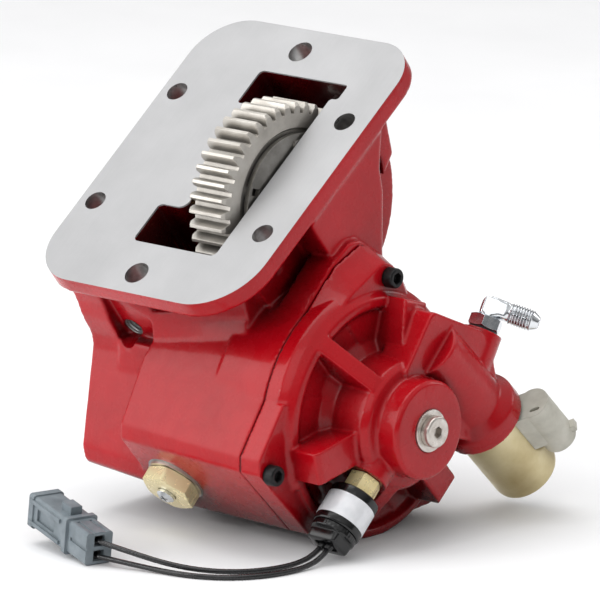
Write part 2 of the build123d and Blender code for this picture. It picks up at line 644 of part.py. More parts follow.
# ================================================================= clutch gear
with BuildPart() as clutch_gear:
    with BuildSketch(Plane(origin=(11.0, YC, ZC), x_dir=(0, 1, 0), z_dir=(1, 0, 0))):
        with BuildLine():
            Polyline(*gear_outline(Z_OUT, PHASE_OUT), close=True)
        make_face()
    extrude(amount=22.0)
    with BuildSketch(Plane(origin=(0, YC, ZC), x_dir=(1, 0, 0), z_dir=(0, 0, 1))):
        with BuildLine():
            Polyline((11, 0), (11, 52.0), (12.4, 54.5), (31.6, 54.5), (33, 52.0), (33, 0), close=True)
        make_face()
    revolve(axis=AXIS, mode=Mode.INTERSECT)
    # bell that drives the friction discs
    with BuildSketch(yz(32.0)):
        with Locations((YC, ZC)):
            Circle(47.6)
            Circle(42.6, mode=Mode.SUBTRACT)
    extrude(amount=27.5)
    with BuildSketch(yz(31.0)):
        with Locations((YC, ZC)):
            Circle(42.6)
    extrude(amount=2.0, mode=Mode.SUBTRACT)
    with BuildSketch(yz(11.0)):
        with Locations((YC, ZC)):
            Circle(20.0)
    extrude(amount=20.0, mode=Mode.SUBTRACT)
    with BuildSketch(Plane(origin=(0, YC, ZC), x_dir=(1, 0, 0), z_dir=(0, 0, 1))):
        with BuildLine():
            Polyline((11, 26.0), (13, 28.0), (13, 42.0), (11, 44.0), close=True)
        make_face()
    revolve(axis=AXIS, mode=Mode.SUBTRACT)
    with BuildSketch(yz(36.0)):
        with Locations((YC, ZC)):
            with PolarLocations(43.4, 6):
                Rectangle(3.2, 8.4)
    extrude(amount=23.5, mode=Mode.SUBTRACT)
clutch_gear.part.label = "clutch_gear"
export_step(clutch_gear.part, "parts/clutch_gear.step")

# ================================================================= clutch gear bush
with BuildPart() as gear_bush:
    with BuildSketch(yz(11.2)):
        with Locations((YC, ZC)):
            Circle(19.98)
            Circle(17.54, mode=Mode.SUBTRACT)
    extrude(amount=19.7)
gear_bush.part.label = "clutch_gear_bush"
export_step(gear_bush.part, "parts/clutch_gear_bush.step")

# ================================================================= clutch thrust washers
with BuildPart() as thrust_w:
    with BuildSketch(yz(8.9)):
        with Locations((YC, ZC)):
            Circle(26.0)
            Circle(17.6, mode=Mode.SUBTRACT)
    extrude(amount=1.9)
    with BuildSketch(yz(31.2)):
        with Locations((YC, ZC)):
            Circle(24.5)
            Circle(17.6, mode=Mode.SUBTRACT)
    extrude(amount=0.6)
thrust_w.part.label = "clutch_thrust_washers"
export_step(thrust_w.part, "parts/clutch_thrust_washers.step")

# ================================================================= output shaft
with BuildPart() as output_shaft:
    with BuildSketch(Plane(origin=(0, YC, ZC), x_dir=(1, 0, 0), z_dir=(0, 0, 1))):
        with BuildLine():
            Polyline((-42.6, 0), (-42.6, 14.2), (-41.8, 15), (3.6, 15), (3.6, 19.5), (8.7, 19.5), (8.7, 17.5), (33.0, 17.5), (33.0, 12.5), (111, 12.5), (112, 11.5), (112, 0), close=True)
        make_face()
    revolve(axis=AXIS)
    # keyed bore for the pump's shaft
    with BuildSketch(yz(-44)):
        with Locations((YC, ZC)):
            Circle(9.525)
    extrude(amount=40, mode=Mode.SUBTRACT)
    with BuildSketch(yz(-44)):
        with Locations((YC, ZC + 9.6)):
            Rectangle(4.8, 4.6)
    extrude(amount=40, mode=Mode.SUBTRACT)
    # oil way to the piston
    with BuildSketch(yz(73.0)):
        with Locations((YC, ZC)):
            Circle(3.0)
    extrude(amount=39.0, mode=Mode.SUBTRACT)
    with BuildSketch(Plane(origin=(74.2, YC, ZC), x_dir=(1, 0, 0), z_dir=(0, 0, 1))):
        Circle(1.2)
    extrude(amount=14, both=True, mode=Mode.SUBTRACT)
    # grooves: snap rings and seal rings
    with BuildSketch(yz(-14.7)):
        with Locations((YC, ZC)):
            Circle(15.6)
            Circle(14.2, mode=Mode.SUBTRACT)
    extrude(amount=1.8, mode=Mode.SUBTRACT)
    with BuildSketch(yz(104.4)):
        with Locations((YC, ZC)):
            Circle(13.0)
            Circle(11.25, mode=Mode.SUBTRACT)
    extrude(amount=1.7, mode=Mode.SUBTRACT)
    with BuildSketch(yz(107.9)):
        with Locations((YC, ZC)):
            Circle(13.0)
            Circle(11.25, mode=Mode.SUBTRACT)
    extrude(amount=1.7, mode=Mode.SUBTRACT)
    with BuildSketch(yz(78.2)):
        with Locations((YC, ZC)):
            Circle(13.0)
            Circle(11.9, mode=Mode.SUBTRACT)
    extrude(amount=1.4, mode=Mode.SUBTRACT)
output_shaft.part.label = "output_shaft"
export_step(output_shaft.part, "parts/output_shaft.step")

# ================================================================= clutch hub
with BuildPart() as clutch_hub:
    with BuildSketch(Plane(origin=(0, YC, ZC), x_dir=(1, 0, 0), z_dir=(0, 0, 1))):
        with BuildLine():
            Polyline((33.1, 12.53), (33.1, 24), (58.0, 24), (58.0, 17.5), (72.0, 17.5), (72.0, 42.0), (60.0, 42.0), (60.0, 46.0), (77.0, 46.0), (77.0, 12.53), close=True)
        make_face()
    revolve(axis=AXIS)
    # grooves the steel plates slide in
    with BuildSketch(yz(33.1)):
        with Locations((YC, ZC)):
            with PolarLocations(23.4, 6):
                Rectangle(4.2, 6.4)
    extrude(amount=24.9, mode=Mode.SUBTRACT)
    with BuildSketch(Plane(origin=(0, YC, ZC), x_dir=(1, 0, 0), z_dir=(0, 0, 1))):
        with BuildLine():
            Polyline((33.6, 22.9), (33.6, 26), (35.0, 26), (35.0, 22.9), close=True)
        make_face()
    revolve(axis=AXIS, mode=Mode.SUBTRACT)
    # oil way behind the piston
    with BuildSketch(Plane(origin=(74.2, YC, ZC), x_dir=(1, 0, 0), z_dir=(0, 0, 1))):
        Circle(1.2)
    extrude(amount=20, mode=Mode.SUBTRACT)
    with BuildSketch(Plane(origin=(71.0, YC + 19.4, ZC), x_dir=(0, 1, 0), z_dir=(1, 0, 0))):
        Circle(1.2)
    extrude(amount=3.4, mode=Mode.SUBTRACT)
clutch_hub.part.label = "clutch_hub"
export_step(clutch_hub.part, "parts/clutch_hub.step")

# ================================================================= hub snap ring
with BuildPart() as hub_ring:
    with BuildSketch(yz(33.7)):
        with Locations((YC, ZC)):
            Circle(25.6)
            Circle(22.95, mode=Mode.SUBTRACT)
    extrude(amount=1.2)
    with BuildSketch(yz(33.7)):
        with Locations((YC, ZC + 24.3)):
            Rectangle(5.0, 5.0)
    extrude(amount=1.2, mode=Mode.SUBTRACT)
hub_ring.part.label = "hub_snap_ring"
export_step(hub_ring.part, "parts/hub_snap_ring.step")

# ================================================================= friction discs
with BuildPart() as friction_discs:
    with BuildSketch(yz(38.5)):
        with Locations((YC, ZC)):
            Circle(41.8)
            with PolarLocations(42.6, 6):
                Rectangle(3.6, 8.0)
            Circle(27.0, mode=Mode.SUBTRACT)
    extrude(amount=2.4)
    with BuildSketch(yz(43.2)):
        with Locations((YC, ZC)):
            Circle(41.8)
            with PolarLocations(42.6, 6):
                Rectangle(3.6, 8.0)
            Circle(27.0, mode=Mode.SUBTRACT)
    extrude(amount=2.4)
    with BuildSketch(yz(47.9)):
        with Locations((YC, ZC)):
            Circle(41.8)
            with PolarLocations(42.6, 6):
                Rectangle(3.6, 8.0)
            Circle(27.0, mode=Mode.SUBTRACT)
    extrude(amount=2.4)
    with BuildSketch(yz(52.6)):
        with Locations((YC, ZC)):
            Circle(41.8)
            with PolarLocations(42.6, 6):
                Rectangle(3.6, 8.0)
            Circle(27.0, mode=Mode.SUBTRACT)
    extrude(amount=2.4)
friction_discs.part.label = "friction_discs"
export_step(friction_discs.part, "parts/friction_discs.step")

# ================================================================= steel plates
with BuildPart() as steel_plates:
    with BuildSketch(yz(41.2)):
        with Locations((YC, ZC)):
            Circle(40.0)
            Circle(24.3, mode=Mode.SUBTRACT)
            with PolarLocations(23.0, 6):
                Rectangle(3.4, 6.0)
    extrude(amount=1.7)
    with BuildSketch(yz(45.9)):
        with Locations((YC, ZC)):
            Circle(40.0)
            Circle(24.3, mode=Mode.SUBTRACT)
            with PolarLocations(23.0, 6):
                Rectangle(3.4, 6.0)
    extrude(amount=1.7)
    with BuildSketch(yz(50.6)):
        with Locations((YC, ZC)):
            Circle(40.0)
            Circle(24.3, mode=Mode.SUBTRACT)
            with PolarLocations(23.0, 6):
                Rectangle(3.4, 6.0)
    extrude(amount=1.7)
    with BuildSketch(yz(55.3)):
        with Locations((YC, ZC)):
            Circle(40.0)
            Circle(24.3, mode=Mode.SUBTRACT)
            with PolarLocations(23.0, 6):
                Rectangle(3.4, 6.0)
    extrude(amount=1.7)
steel_plates.part.label = "steel_plates"
export_step(steel_plates.part, "parts/steel_plates.step")

# ================================================================= backing plate
with BuildPart() as backing_plate:
    with BuildSketch(yz(35.2)):
        with Locations((YC, ZC)):
            Circle(40.5)
            Circle(24.3, mode=Mode.SUBTRACT)
            with PolarLocations(23.0, 6):
                Rectangle(3.4, 6.0)
    extrude(amount=3.0)
backing_plate.part.label = "backing_plate"
export_step(backing_plate.part, "parts/backing_plate.step")

# ================================================================= clutch piston
with BuildPart() as piston:
    with BuildSketch(Plane(origin=(0, YC, ZC), x_dir=(1, 0, 0), z_dir=(0, 0, 1))):
        with BuildLine():
            Polyline((63.0, 17.56), (63.0, 18.4), (65.4, 18.4), (65.4, 23.6), (63.0, 23.6), (63.0, 28.5), (59.7, 28.5), (59.7, 38.5), (63.0, 38.5), (63.0, 41.92), (66.6, 41.92), (66.6, 40.1), (68.8, 40.1), (68.8, 41.92), (70.0, 41.92), (70.0, 17.56), (68.8, 17.56), (68.8, 19.3), (66.6, 19.3), (66.6, 17.56), close=True)
        make_face()
    revolve(axis=AXIS)
piston.part.label = "clutch_piston"
export_step(piston.part, "parts/clutch_piston.step")

# ================================================================= piston seals
with BuildPart() as piston_seals:
    with BuildSketch(yz(66.7)):
        with Locations((YC, ZC)):
            Circle(41.97)
            Circle(40.2, mode=Mode.SUBTRACT)
    extrude(amount=2.0)
    with BuildSketch(yz(66.7)):
        with Locations((YC, ZC)):
            Circle(19.2)
            Circle(17.53, mode=Mode.SUBTRACT)
    extrude(amount=2.0)
piston_seals.part.label = "piston_seals"
export_step(piston_seals.part, "parts/piston_seals.step")

# ================================================================= return springs
with BuildPart() as springs:
    with BuildSketch(Plane(origin=(0, YC, ZC), x_dir=(1, 0, 0), z_dir=(0, 0, 1))):
        with BuildLine():
            Polyline((58.2, 22.4), (59.0, 22.9), (60.5, 18.9), (59.7, 18.4), close=True)
        make_face()
    revolve(axis=AXIS)
    with BuildSketch(Plane(origin=(0, YC, ZC), x_dir=(1, 0, 0), z_dir=(0, 0, 1))):
        with BuildLine():
            Polyline((60.6, 18.9), (61.4, 18.4), (62.9, 22.4), (62.1, 22.9), close=True)
        make_face()
    revolve(axis=AXIS)
springs.part.label = "return_springs"
export_step(springs.part, "parts/return_springs.step")

# ================================================================= rear bearing outer
with BuildPart() as rb_outer:
    with BuildSketch(Plane(origin=(0, YC, ZC), x_dir=(1, 0, 0), z_dir=(0, 0, 1))):
        with BuildLine():
            Polyline((-12.4, 30.98), (3.4, 30.98), (3.4, 27.2), (-1.5, 27.2), (-2.4, 28.2), (-6.6, 28.2), (-7.5, 27.2), (-12.4, 27.2), close=True)
        make_face()
    revolve(axis=AXIS)
rb_outer.part.label = "rear_bearing_outer"
export_step(rb_outer.part, "parts/rear_bearing_outer.step")

# ================================================================= rear bearing inner
with BuildPart() as rb_inner:
    with BuildSketch(Plane(origin=(0, YC, ZC), x_dir=(1, 0, 0), z_dir=(0, 0, 1))):
        with BuildLine():
            Polyline((-12.4, 15.03), (3.4, 15.03), (3.4, 18.9), (-1.5, 18.9), (-2.4, 17.9), (-6.6, 17.9), (-7.5, 18.9), (-12.4, 18.9), close=True)
        make_face()
    revolve(axis=AXIS)
rb_inner.part.label = "rear_bearing_inner"
export_step(rb_inner.part, "parts/rear_bearing_inner.step")

# ================================================================= rear bearing balls
with BuildPart() as rb_balls:
    with Locations(*[(-4.5, YC + 23.05 * math.cos(math.radians(40 * k)), ZC + 23.05 * math.sin(math.radians(40 * k))) for k in range(9)]):
        Sphere(4.9)
rb_balls.part.label = "rear_bearing_balls"
export_step(rb_balls.part, "parts/rear_bearing_balls.step")

# ================================================================= bearing snap ring
with BuildPart() as ring_h:
    with BuildSketch(yz(3.8)):
        with Locations((YC, ZC)):
            Circle(32.3)
            Circle(28.9, mode=Mode.SUBTRACT)
    extrude(amount=1.4)
    with BuildSketch(yz(3.8)):
        with Locations((YC, ZC - 30.6)):
            Rectangle(9.0, 5.0)
    extrude(amount=1.4, mode=Mode.SUBTRACT)
ring_h.part.label = "bearing_snap_ring"
export_step(ring_h.part, "parts/bearing_snap_ring.step")

# ================================================================= shaft snap ring
with BuildPart() as ring_s:
    with BuildSketch(yz(-14.6)):
        with Locations((YC, ZC)):
            Circle(17.6)
            Circle(14.25, mode=Mode.SUBTRACT)
    extrude(amount=1.5)
    with BuildSketch(yz(-14.6)):
        with Locations((YC, ZC + 16.0)):
            Rectangle(6.0, 5.0)
    extrude(amount=1.5, mode=Mode.SUBTRACT)
ring_s.part.label = "shaft_snap_ring"
export_step(ring_s.part, "parts/shaft_snap_ring.step")

# ================================================================= rear seal
with BuildPart() as rear_seal:
    with BuildSketch(Plane(origin=(0, YC, ZC), x_dir=(1, 0, 0), z_dir=(0, 0, 1))):
        with BuildLine():
            Polyline((-26, 23.98), (-18, 23.98), (-18, 21.8), (-24.4, 21.8), (-24.4, 18.2), (-20.2, 16.6), (-20.2, 15.08), (-23.0, 15.08), (-26, 17.4), close=True)
        make_face()
    revolve(axis=AXIS)
rear_seal.part.label = "rear_seal"
export_step(rear_seal.part, "parts/rear_seal.step")

# ================================================================= front bearing outer
with BuildPart() as fb_outer:
    with BuildSketch(Plane(origin=(0, YC, ZC), x_dir=(1, 0, 0), z_dir=(0, 0, 1))):
        with BuildLine():
            Polyline((86.1, 25.98), (100.9, 25.98), (100.9, 22.8), (96.3, 22.8), (95.4, 23.5), (91.6, 23.5), (90.7, 22.8), (86.1, 22.8), close=True)
        make_face()
    revolve(axis=AXIS)
fb_outer.part.label = "front_bearing_outer"
export_step(fb_outer.part, "parts/front_bearing_outer.step")

# ================================================================= front bearing inner
with BuildPart() as fb_inner:
    with BuildSketch(Plane(origin=(0, YC, ZC), x_dir=(1, 0, 0), z_dir=(0, 0, 1))):
        with BuildLine():
            Polyline((86.1, 12.53), (100.9, 12.53), (100.9, 15.8), (96.3, 15.8), (95.4, 15.1), (91.6, 15.1), (90.7, 15.8), (86.1, 15.8), close=True)
        make_face()
    revolve(axis=AXIS)
fb_inner.part.label = "front_bearing_inner"
export_step(fb_inner.part, "parts/front_bearing_inner.step")

# ================================================================= front bearing balls
with BuildPart() as fb_balls:
    with Locations(*[(93.5, YC + 19.3 * math.cos(math.radians(40 * k)), ZC + 19.3 * math.sin(math.radians(40 * k))) for k in range(9)]):
        Sphere(4.0)
fb_balls.part.label = "front_bearing_balls"
export_step(fb_balls.part, "parts/front_bearing_balls.step")

# ================================================================= shaft spacer
with BuildPart() as spacer:
    with BuildSketch(yz(77.1)):
        with Locations((YC, ZC)):
            Circle(16.0)
            Circle(12.55, mode=Mode.SUBTRACT)
    extrude(amount=8.9)
spacer.part.label = "shaft_spacer"
export_step(spacer.part, "parts/shaft_spacer.step")

# ================================================================= shaft seal rings
with BuildPart() as seal_rings:
    with BuildSketch(yz(104.5)):
        with Locations((YC, ZC)):
            Circle(12.57)
            Circle(11.3, mode=Mode.SUBTRACT)
    extrude(amount=1.5)
    with BuildSketch(yz(108.0)):
        with Locations((YC, ZC)):
            Circle(12.57)
            Circle(11.3, mode=Mode.SUBTRACT)
    extrude(amount=1.5)
seal_rings.part.label = "shaft_seal_rings"
export_step(seal_rings.part, "parts/shaft_seal_rings.step")

# ================================================================= valve cartridge
with BuildPart() as cartridge:
    # body in the stepped bore, hexagon above it, and the stem
    with BuildSketch(Plane(origin=along(VALVE_O, VALVE_D, -29), x_dir=(1, 0, 0), z_dir=VALVE_D)):
        Circle(8.96)
    extrude(amount=29.2)
    with BuildSketch(Plane(origin=along(VALVE_O, VALVE_D, -46), x_dir=(1, 0, 0), z_dir=VALVE_D)):
        Circle(6.46)
    extrude(amount=17.2)
    with BuildSketch(Plane(origin=along(VALVE_O, VALVE_D, 0.2), x_dir=(1, 0, 0), z_dir=VALVE_D)):
        RegularPolygon(11.0, 6, major_radius=False)
    extrude(amount=4.3)
    with BuildSketch(Plane(origin=along(VALVE_O, VALVE_D, 4.4), x_dir=(1, 0, 0), z_dir=VALVE_D)):
        Circle(6.0)
    extrude(amount=47.4)
    # spool bore
    with BuildSketch(Plane(origin=along(VALVE_O, VALVE_D, -46.5), x_dir=(1, 0, 0), z_dir=VALVE_D)):
        Circle(4.0)
    extrude(amount=45.0, mode=Mode.SUBTRACT)
    # ports across it
    with BuildSketch(Plane(origin=along(VALVE_O, VALVE_D, -37), x_dir=VALVE_D, z_dir=(1, 0, 0))):
        Circle(1.5)
    extrude(amount=10, both=True, mode=Mode.SUBTRACT)
    with BuildSketch(Plane(origin=along(VALVE_O, VALVE_D, -14), x_dir=VALVE_D, z_dir=(1, 0, 0))):
        Circle(1.5)
    extrude(amount=10, both=True, mode=Mode.SUBTRACT)
cartridge.part.label = "valve_cartridge"
export_step(cartridge.part, "parts/valve_cartridge.step")

# ================================================================= valve spool
with BuildPart() as spool:
    with BuildSketch(Plane(origin=along(VALVE_O, VALVE_D, -44), x_dir=(1, 0, 0), z_dir=VALVE_D)):
        Circle(3.96)
    extrude(amount=16.0)
    with BuildSketch(Plane(origin=along(VALVE_O, VALVE_D, -28.1), x_dir=(1, 0, 0), z_dir=VALVE_D)):
        Circle(2.6)
    extrude(amount=7.2)
    with BuildSketch(Plane(origin=along(VALVE_O, VALVE_D, -21), x_dir=(1, 0, 0), z_dir=VALVE_D)):
        Circle(3.96)
    extrude(amount=16.0)
spool.part.label = "valve_spool"
export_step(spool.part, "parts/valve_spool.step")

# ================================================================= solenoid coil
with BuildPart() as coil:
    with BuildSketch(Plane(origin=along(VALVE_O, VALVE_D, 0.3), x_dir=(1, 0, 0), z_dir=VALVE_D)):
        Circle(17.2)
    extrude(amount=44.4)
    with BuildSketch(Plane(origin=along(VALVE_O, VALVE_D, 44.7), x_dir=(1, 0, 0), z_dir=VALVE_D)):
        Circle(17.2)
    with BuildSketch(Plane(origin=along(VALVE_O, VALVE_D, 46.2), x_dir=(1, 0, 0), z_dir=VALVE_D)):
        Circle(15.8)
    loft()
    with BuildSketch(Plane(origin=along(VALVE_O, VALVE_D, 0.3), x_dir=(1, 0, 0), z_dir=VALVE_D)):
        Circle(13.4)
    extrude(amount=4.8, mode=Mode.SUBTRACT)
    with BuildSketch(Plane(origin=along(VALVE_O, VALVE_D, 0.3), x_dir=(1, 0, 0), z_dir=VALVE_D)):
        Circle(6.08)
    extrude(amount=46.5, mode=Mode.SUBTRACT)
coil.part.label = "solenoid_coil"
export_step(coil.part, "parts/solenoid_coil.step")

# ================================================================= coil nut
with BuildPart() as coil_nut:
    with BuildSketch(Plane(origin=along(VALVE_O, VALVE_D, 46.3), x_dir=(1, 0, 0), z_dir=VALVE_D)):
        RegularPolygon(8.5, 6, major_radius=False)
    extrude(amount=4.6)
    with BuildSketch(Plane(origin=along(VALVE_O, VALVE_D, 46.0), x_dir=(1, 0, 0), z_dir=VALVE_D)):
        Circle(6.05)
    extrude(amount=6.0, mode=Mode.SUBTRACT)
coil_nut.part.label = "coil_nut"
export_step(coil_nut.part, "parts/coil_nut.step")

CON_A = math.radians(35.0)                    # where round the coil the connector sits
CON_E = (math.cos(CON_A), math.sin(CON_A) * 0.700, math.sin(CON_A) * 0.714)


def at_coil(s, e):
    """a point s along the valve axis and e out towards the connector"""
    return tuple(VALVE_O[i] + VALVE_D[i] * s + CON_E[i] * e for i in range(3))


# ================================================================= solenoid connector
with BuildPart() as solenoid_connector:
    # saddle on the coil, and the round plug shell beside it
    with BuildSketch(Plane(origin=at_coil(1.8, 21.5), x_dir=CON_E, z_dir=VALVE_D)):
        RectangleRounded(17.0, 16.2, 1.5)
    extrude(amount=23.6)
    with BuildSketch(Plane(origin=at_coil(1.8, 26.0), x_dir=CON_E, z_dir=VALVE_D)):
        Circle(8.7)
    extrude(amount=30.6)
    # latch on top
    with BuildSketch(Plane(origin=at_coil(25.4, 35.2), x_dir=CON_E, z_dir=VALVE_D)):
        Rectangle(3.6, 5.0)
    extrude(amount=3.6)
    # the coil's round flank
    with BuildSketch(Plane(origin=along(VALVE_O, VALVE_D, 0), x_dir=(1, 0, 0), z_dir=VALVE_D)):
        Circle(17.22)
    extrude(amount=40, mode=Mode.SUBTRACT)
    # socket, open downwards
    with BuildSketch(Plane(origin=at_coil(32.4, 26.0), x_dir=CON_E, z_dir=VALVE_D)):
        Circle(6.9)
    extrude(amount=-15.4, mode=Mode.SUBTRACT)
    # slot in the back
    with BuildSketch(Plane(origin=at_coil(1.8, 27.0), x_dir=CON_E, z_dir=VALVE_D)):
        with Locations((0, 4.6)):
            SlotOverall(5.2, 1.8)
    extrude(amount=3.0, mode=Mode.SUBTRACT)
solenoid_connector.part.label = "solenoid_connector"
export_step(solenoid_connector.part, "parts/solenoid_connector.step")

# ================================================================= solenoid pins
with BuildPart() as solenoid_pins:
    with BuildSketch(Plane(origin=at_coil(17.02, 26.0), x_dir=CON_E, z_dir=VALVE_D)):
        with Locations((0, 2.6), (0, -2.6)):
            Rectangle(1.0, 2.2)
    extrude(amount=9.5)
solenoid_pins.part.label = "solenoid_pins"
export_step(solenoid_pins.part, "parts/solenoid_pins.step")

ARM = (0.8165, 0.4960, -0.2955)               # direction of the elbow's outlet
ELBOW = along(PORT_O, PORT_D, 13.2)           # where the two legs meet

# ================================================================= elbow fitting
with BuildPart() as elbow:
    # stud in the port, leg, forged corner
    with BuildSketch(Plane(origin=along(PORT_O, PORT_D, -11), x_dir=(1, 0, 0), z_dir=PORT_D)):
        Circle(5.5)
    extrude(amount=11.0)
    with BuildSketch(Plane(origin=along(PORT_O, PORT_D, -0.5), x_dir=(1, 0, 0), z_dir=PORT_D)):
        Circle(5.0)
    extrude(amount=9.6)
    with BuildSketch(Plane(origin=along(PORT_O, PORT_D, 8.2), x_dir=ARM, z_dir=PORT_D)):
        RectangleRounded(9.6, 10.2, 1.6)
    extrude(amount=9.6)
    with BuildSketch(Plane(origin=along(ELBOW, ARM, 0), x_dir=PORT_D, z_dir=ARM)):
        RectangleRounded(9.2, 10.0, 1.5)
    extrude(amount=8.6)
    with BuildSketch(Plane(origin=along(ELBOW, ARM, 8.4), x_dir=PORT_D, z_dir=ARM)):
        Circle(4.7)
    extrude(amount=2.4)
    with BuildSketch(Plane(origin=along(ELBOW, ARM, 10.2), x_dir=PORT_D, z_dir=ARM)):
        Circle(5.55)
    extrude(amount=10.8)
    with BuildSketch(Plane(origin=along(ELBOW, ARM, 20.9), x_dir=PORT_D, z_dir=ARM)):
        Circle(5.2)
    with BuildSketch(Plane(origin=along(ELBOW, ARM, 24.8), x_dir=PORT_D, z_dir=ARM)):
        Circle(2.9)
    loft()
    # bores
    with BuildSketch(Plane(origin=along(ELBOW, ARM, -1), x_dir=PORT_D, z_dir=ARM)):
        Circle(2.2)
    extrude(amount=27, mode=Mode.SUBTRACT)
    with BuildSketch(Plane(origin=along(PORT_O, PORT_D, -12), x_dir=(1, 0, 0), z_dir=PORT_D)):
        Circle(2.2)
    extrude(amount=25.6, mode=Mode.SUBTRACT)
elbow.part.label = "elbow_fitting"
export_step(elbow.part, "parts/elbow_fitting.step")

# ================================================================= elbow lock nut
with BuildPart() as elbow_nut:
    with BuildSketch(Plane(origin=along(PORT_O, PORT_D, 1.3), x_dir=(1, 0, 0), z_dir=PORT_D)):
        RegularPolygon(7.5, 6, major_radius=False)
    extrude(amount=6.2)
    with BuildSketch(Plane(origin=along(PORT_O, PORT_D, 1.0), x_dir=(1, 0, 0), z_dir=PORT_D)):
        Circle(5.05)
    extrude(amount=7.0, mode=Mode.SUBTRACT)
elbow_nut.part.label = "elbow_lock_nut"
export_step(elbow_nut.part, "parts/elbow_lock_nut.step")

# ================================================================= elbow o ring
with BuildPart() as elbow_ring:
    with BuildSketch(Plane(origin=along(PORT_O, PORT_D, 0.05), x_dir=(1, 0, 0), z_dir=PORT_D)):
        Circle(7.2)
    extrude(amount=1.2)
    with BuildSketch(Plane(origin=along(PORT_O, PORT_D, -0.1), x_dir=(1, 0, 0), z_dir=PORT_D)):
        Circle(5.05)
    extrude(amount=1.6, mode=Mode.SUBTRACT)
elbow_ring.part.label = "elbow_o_ring"
export_step(elbow_ring.part, "parts/elbow_o_ring.step")

# ================================================================= drain washer
with BuildPart() as drain_washer:
    with BuildSketch(Plane(origin=along(DRAIN, DRAIN_N, 0.02), x_dir=(1, 0, 0), z_dir=DRAIN_N)):
        Circle(14.6)
    extrude(amount=1.6)
    with BuildSketch(Plane(origin=along(DRAIN, DRAIN_N, -0.1), x_dir=(1, 0, 0), z_dir=DRAIN_N)):
        Circle(8.1)
    extrude(amount=2.0, mode=Mode.SUBTRACT)
drain_washer.part.label = "drain_washer"
export_step(drain_washer.part, "parts/drain_washer.step")

# ================================================================= drain plug
with BuildPart() as drain_plug:
    with BuildSketch(Plane(origin=along(DRAIN, DRAIN_N, -12), x_dir=(1, 0, 0), z_dir=DRAIN_N)):
        Circle(7.92)
    extrude(amount=13.8)
    with BuildSketch(Plane(origin=along(DRAIN, DRAIN_N, 1.65), x_dir=(1, 0, 0), z_dir=DRAIN_N)):
        RegularPolygon(14.3, 6, major_radius=True, rotation=14.2)
    extrude(amount=8.0)
    with BuildSketch(Plane(origin=along(DRAIN, DRAIN_N, 9.65), x_dir=(1, 0, 0), z_dir=DRAIN_N)):
        Circle(4.9)
    extrude(amount=-1.0, mode=Mode.SUBTRACT)
    with BuildSketch(Plane(origin=along(DRAIN, DRAIN_N, -2.0), x_dir=(1, 0, 0), z_dir=DRAIN_N)):
        Circle(2.05)
    extrude(amount=12.0, mode=Mode.SUBTRACT)
drain_plug.part.label = "drain_plug"
export_step(drain_plug.part, "parts/drain_plug.step")

# ================================================================= drain screw
with BuildPart() as drain_screw:
    with BuildSketch(Plane(origin=along(DRAIN, DRAIN_N, -1.0), x_dir=(1, 0, 0), z_dir=DRAIN_N)):
        Circle(2.0)
    extrude(amount=9.8)
    with BuildSketch(Plane(origin=along(DRAIN, DRAIN_N, 8.7), x_dir=(1, 0, 0), z_dir=DRAIN_N)):
        Circle(4.7)
    extrude(amount=2.6)
    with BuildSketch(Plane(origin=along(DRAIN, DRAIN_N, 11.25), x_dir=(1, 0, 0), z_dir=DRAIN_N)):
        Circle(4.7)
    with BuildSketch(Plane(origin=along(DRAIN, DRAIN_N, 12.6), x_dir=(1, 0, 0), z_dir=DRAIN_N)):
        Circle(3.0)
    loft()
    # cross recess
    with BuildSketch(Plane(origin=along(DRAIN, DRAIN_N, 12.7), x_dir=(1, 0, 0), z_dir=DRAIN_N)):
        Rectangle(5.0, 1.0)
        Rectangle(1.0, 5.0)
    extrude(amount=-2.0, mode=Mode.SUBTRACT)
drain_screw.part.label = "drain_screw"
export_step(drain_screw.part, "parts/drain_screw.step")

# ================================================================= switch adapter
with BuildPart() as adapter:
    with BuildSketch(Plane(origin=along(SWITCH_O, SWITCH_D, -6.5), x_dir=(1, 0, 0), z_dir=SWITCH_D)):
        Circle(4.75)
    extrude(amount=6.8)
    with BuildSketch(Plane(origin=along(SWITCH_O, SWITCH_D, 0.15), x_dir=(1, 0, 0), z_dir=SWITCH_D)):
        RegularPolygon(7.4, 6, major_radius=False)
    extrude(amount=9.9)
    with BuildSketch(Plane(origin=along(SWITCH_O, SWITCH_D, -7), x_dir=(1, 0, 0), z_dir=SWITCH_D)):
        Circle(1.0)
    extrude(amount=18, mode=Mode.SUBTRACT)
adapter.part.label = "switch_adapter"
export_step(adapter.part, "parts/switch_adapter.step")

# ================================================================= pressure switch
with BuildPart() as switch:
    with BuildSketch(Plane(origin=along(SWITCH_O, SWITCH_D, 10.1), x_dir=(1, 0, 0), z_dir=SWITCH_D)):
        Circle(11.4)
    with BuildSketch(Plane(origin=along(SWITCH_O, SWITCH_D, 11.3), x_dir=(1, 0, 0), z_dir=SWITCH_D)):
        Circle(12.5)
    loft()
    with BuildSketch(Plane(origin=along(SWITCH_O, SWITCH_D, 11.2), x_dir=(1, 0, 0), z_dir=SWITCH_D)):
        Circle(12.5)
    extrude(amount=3.6)
    with BuildSketch(Plane(origin=along(SWITCH_O, SWITCH_D, 14.7), x_dir=(1, 0, 0), z_dir=SWITCH_D)):
        Circle(12.15)
    extrude(amount=12.8)
    with BuildSketch(Plane(origin=along(SWITCH_O, SWITCH_D, 27.4), x_dir=(1, 0, 0), z_dir=SWITCH_D)):
        Circle(12.3)
    extrude(amount=3.6)
switch.part.label = "pressure_switch"
export_step(switch.part, "parts/pressure_switch.step")

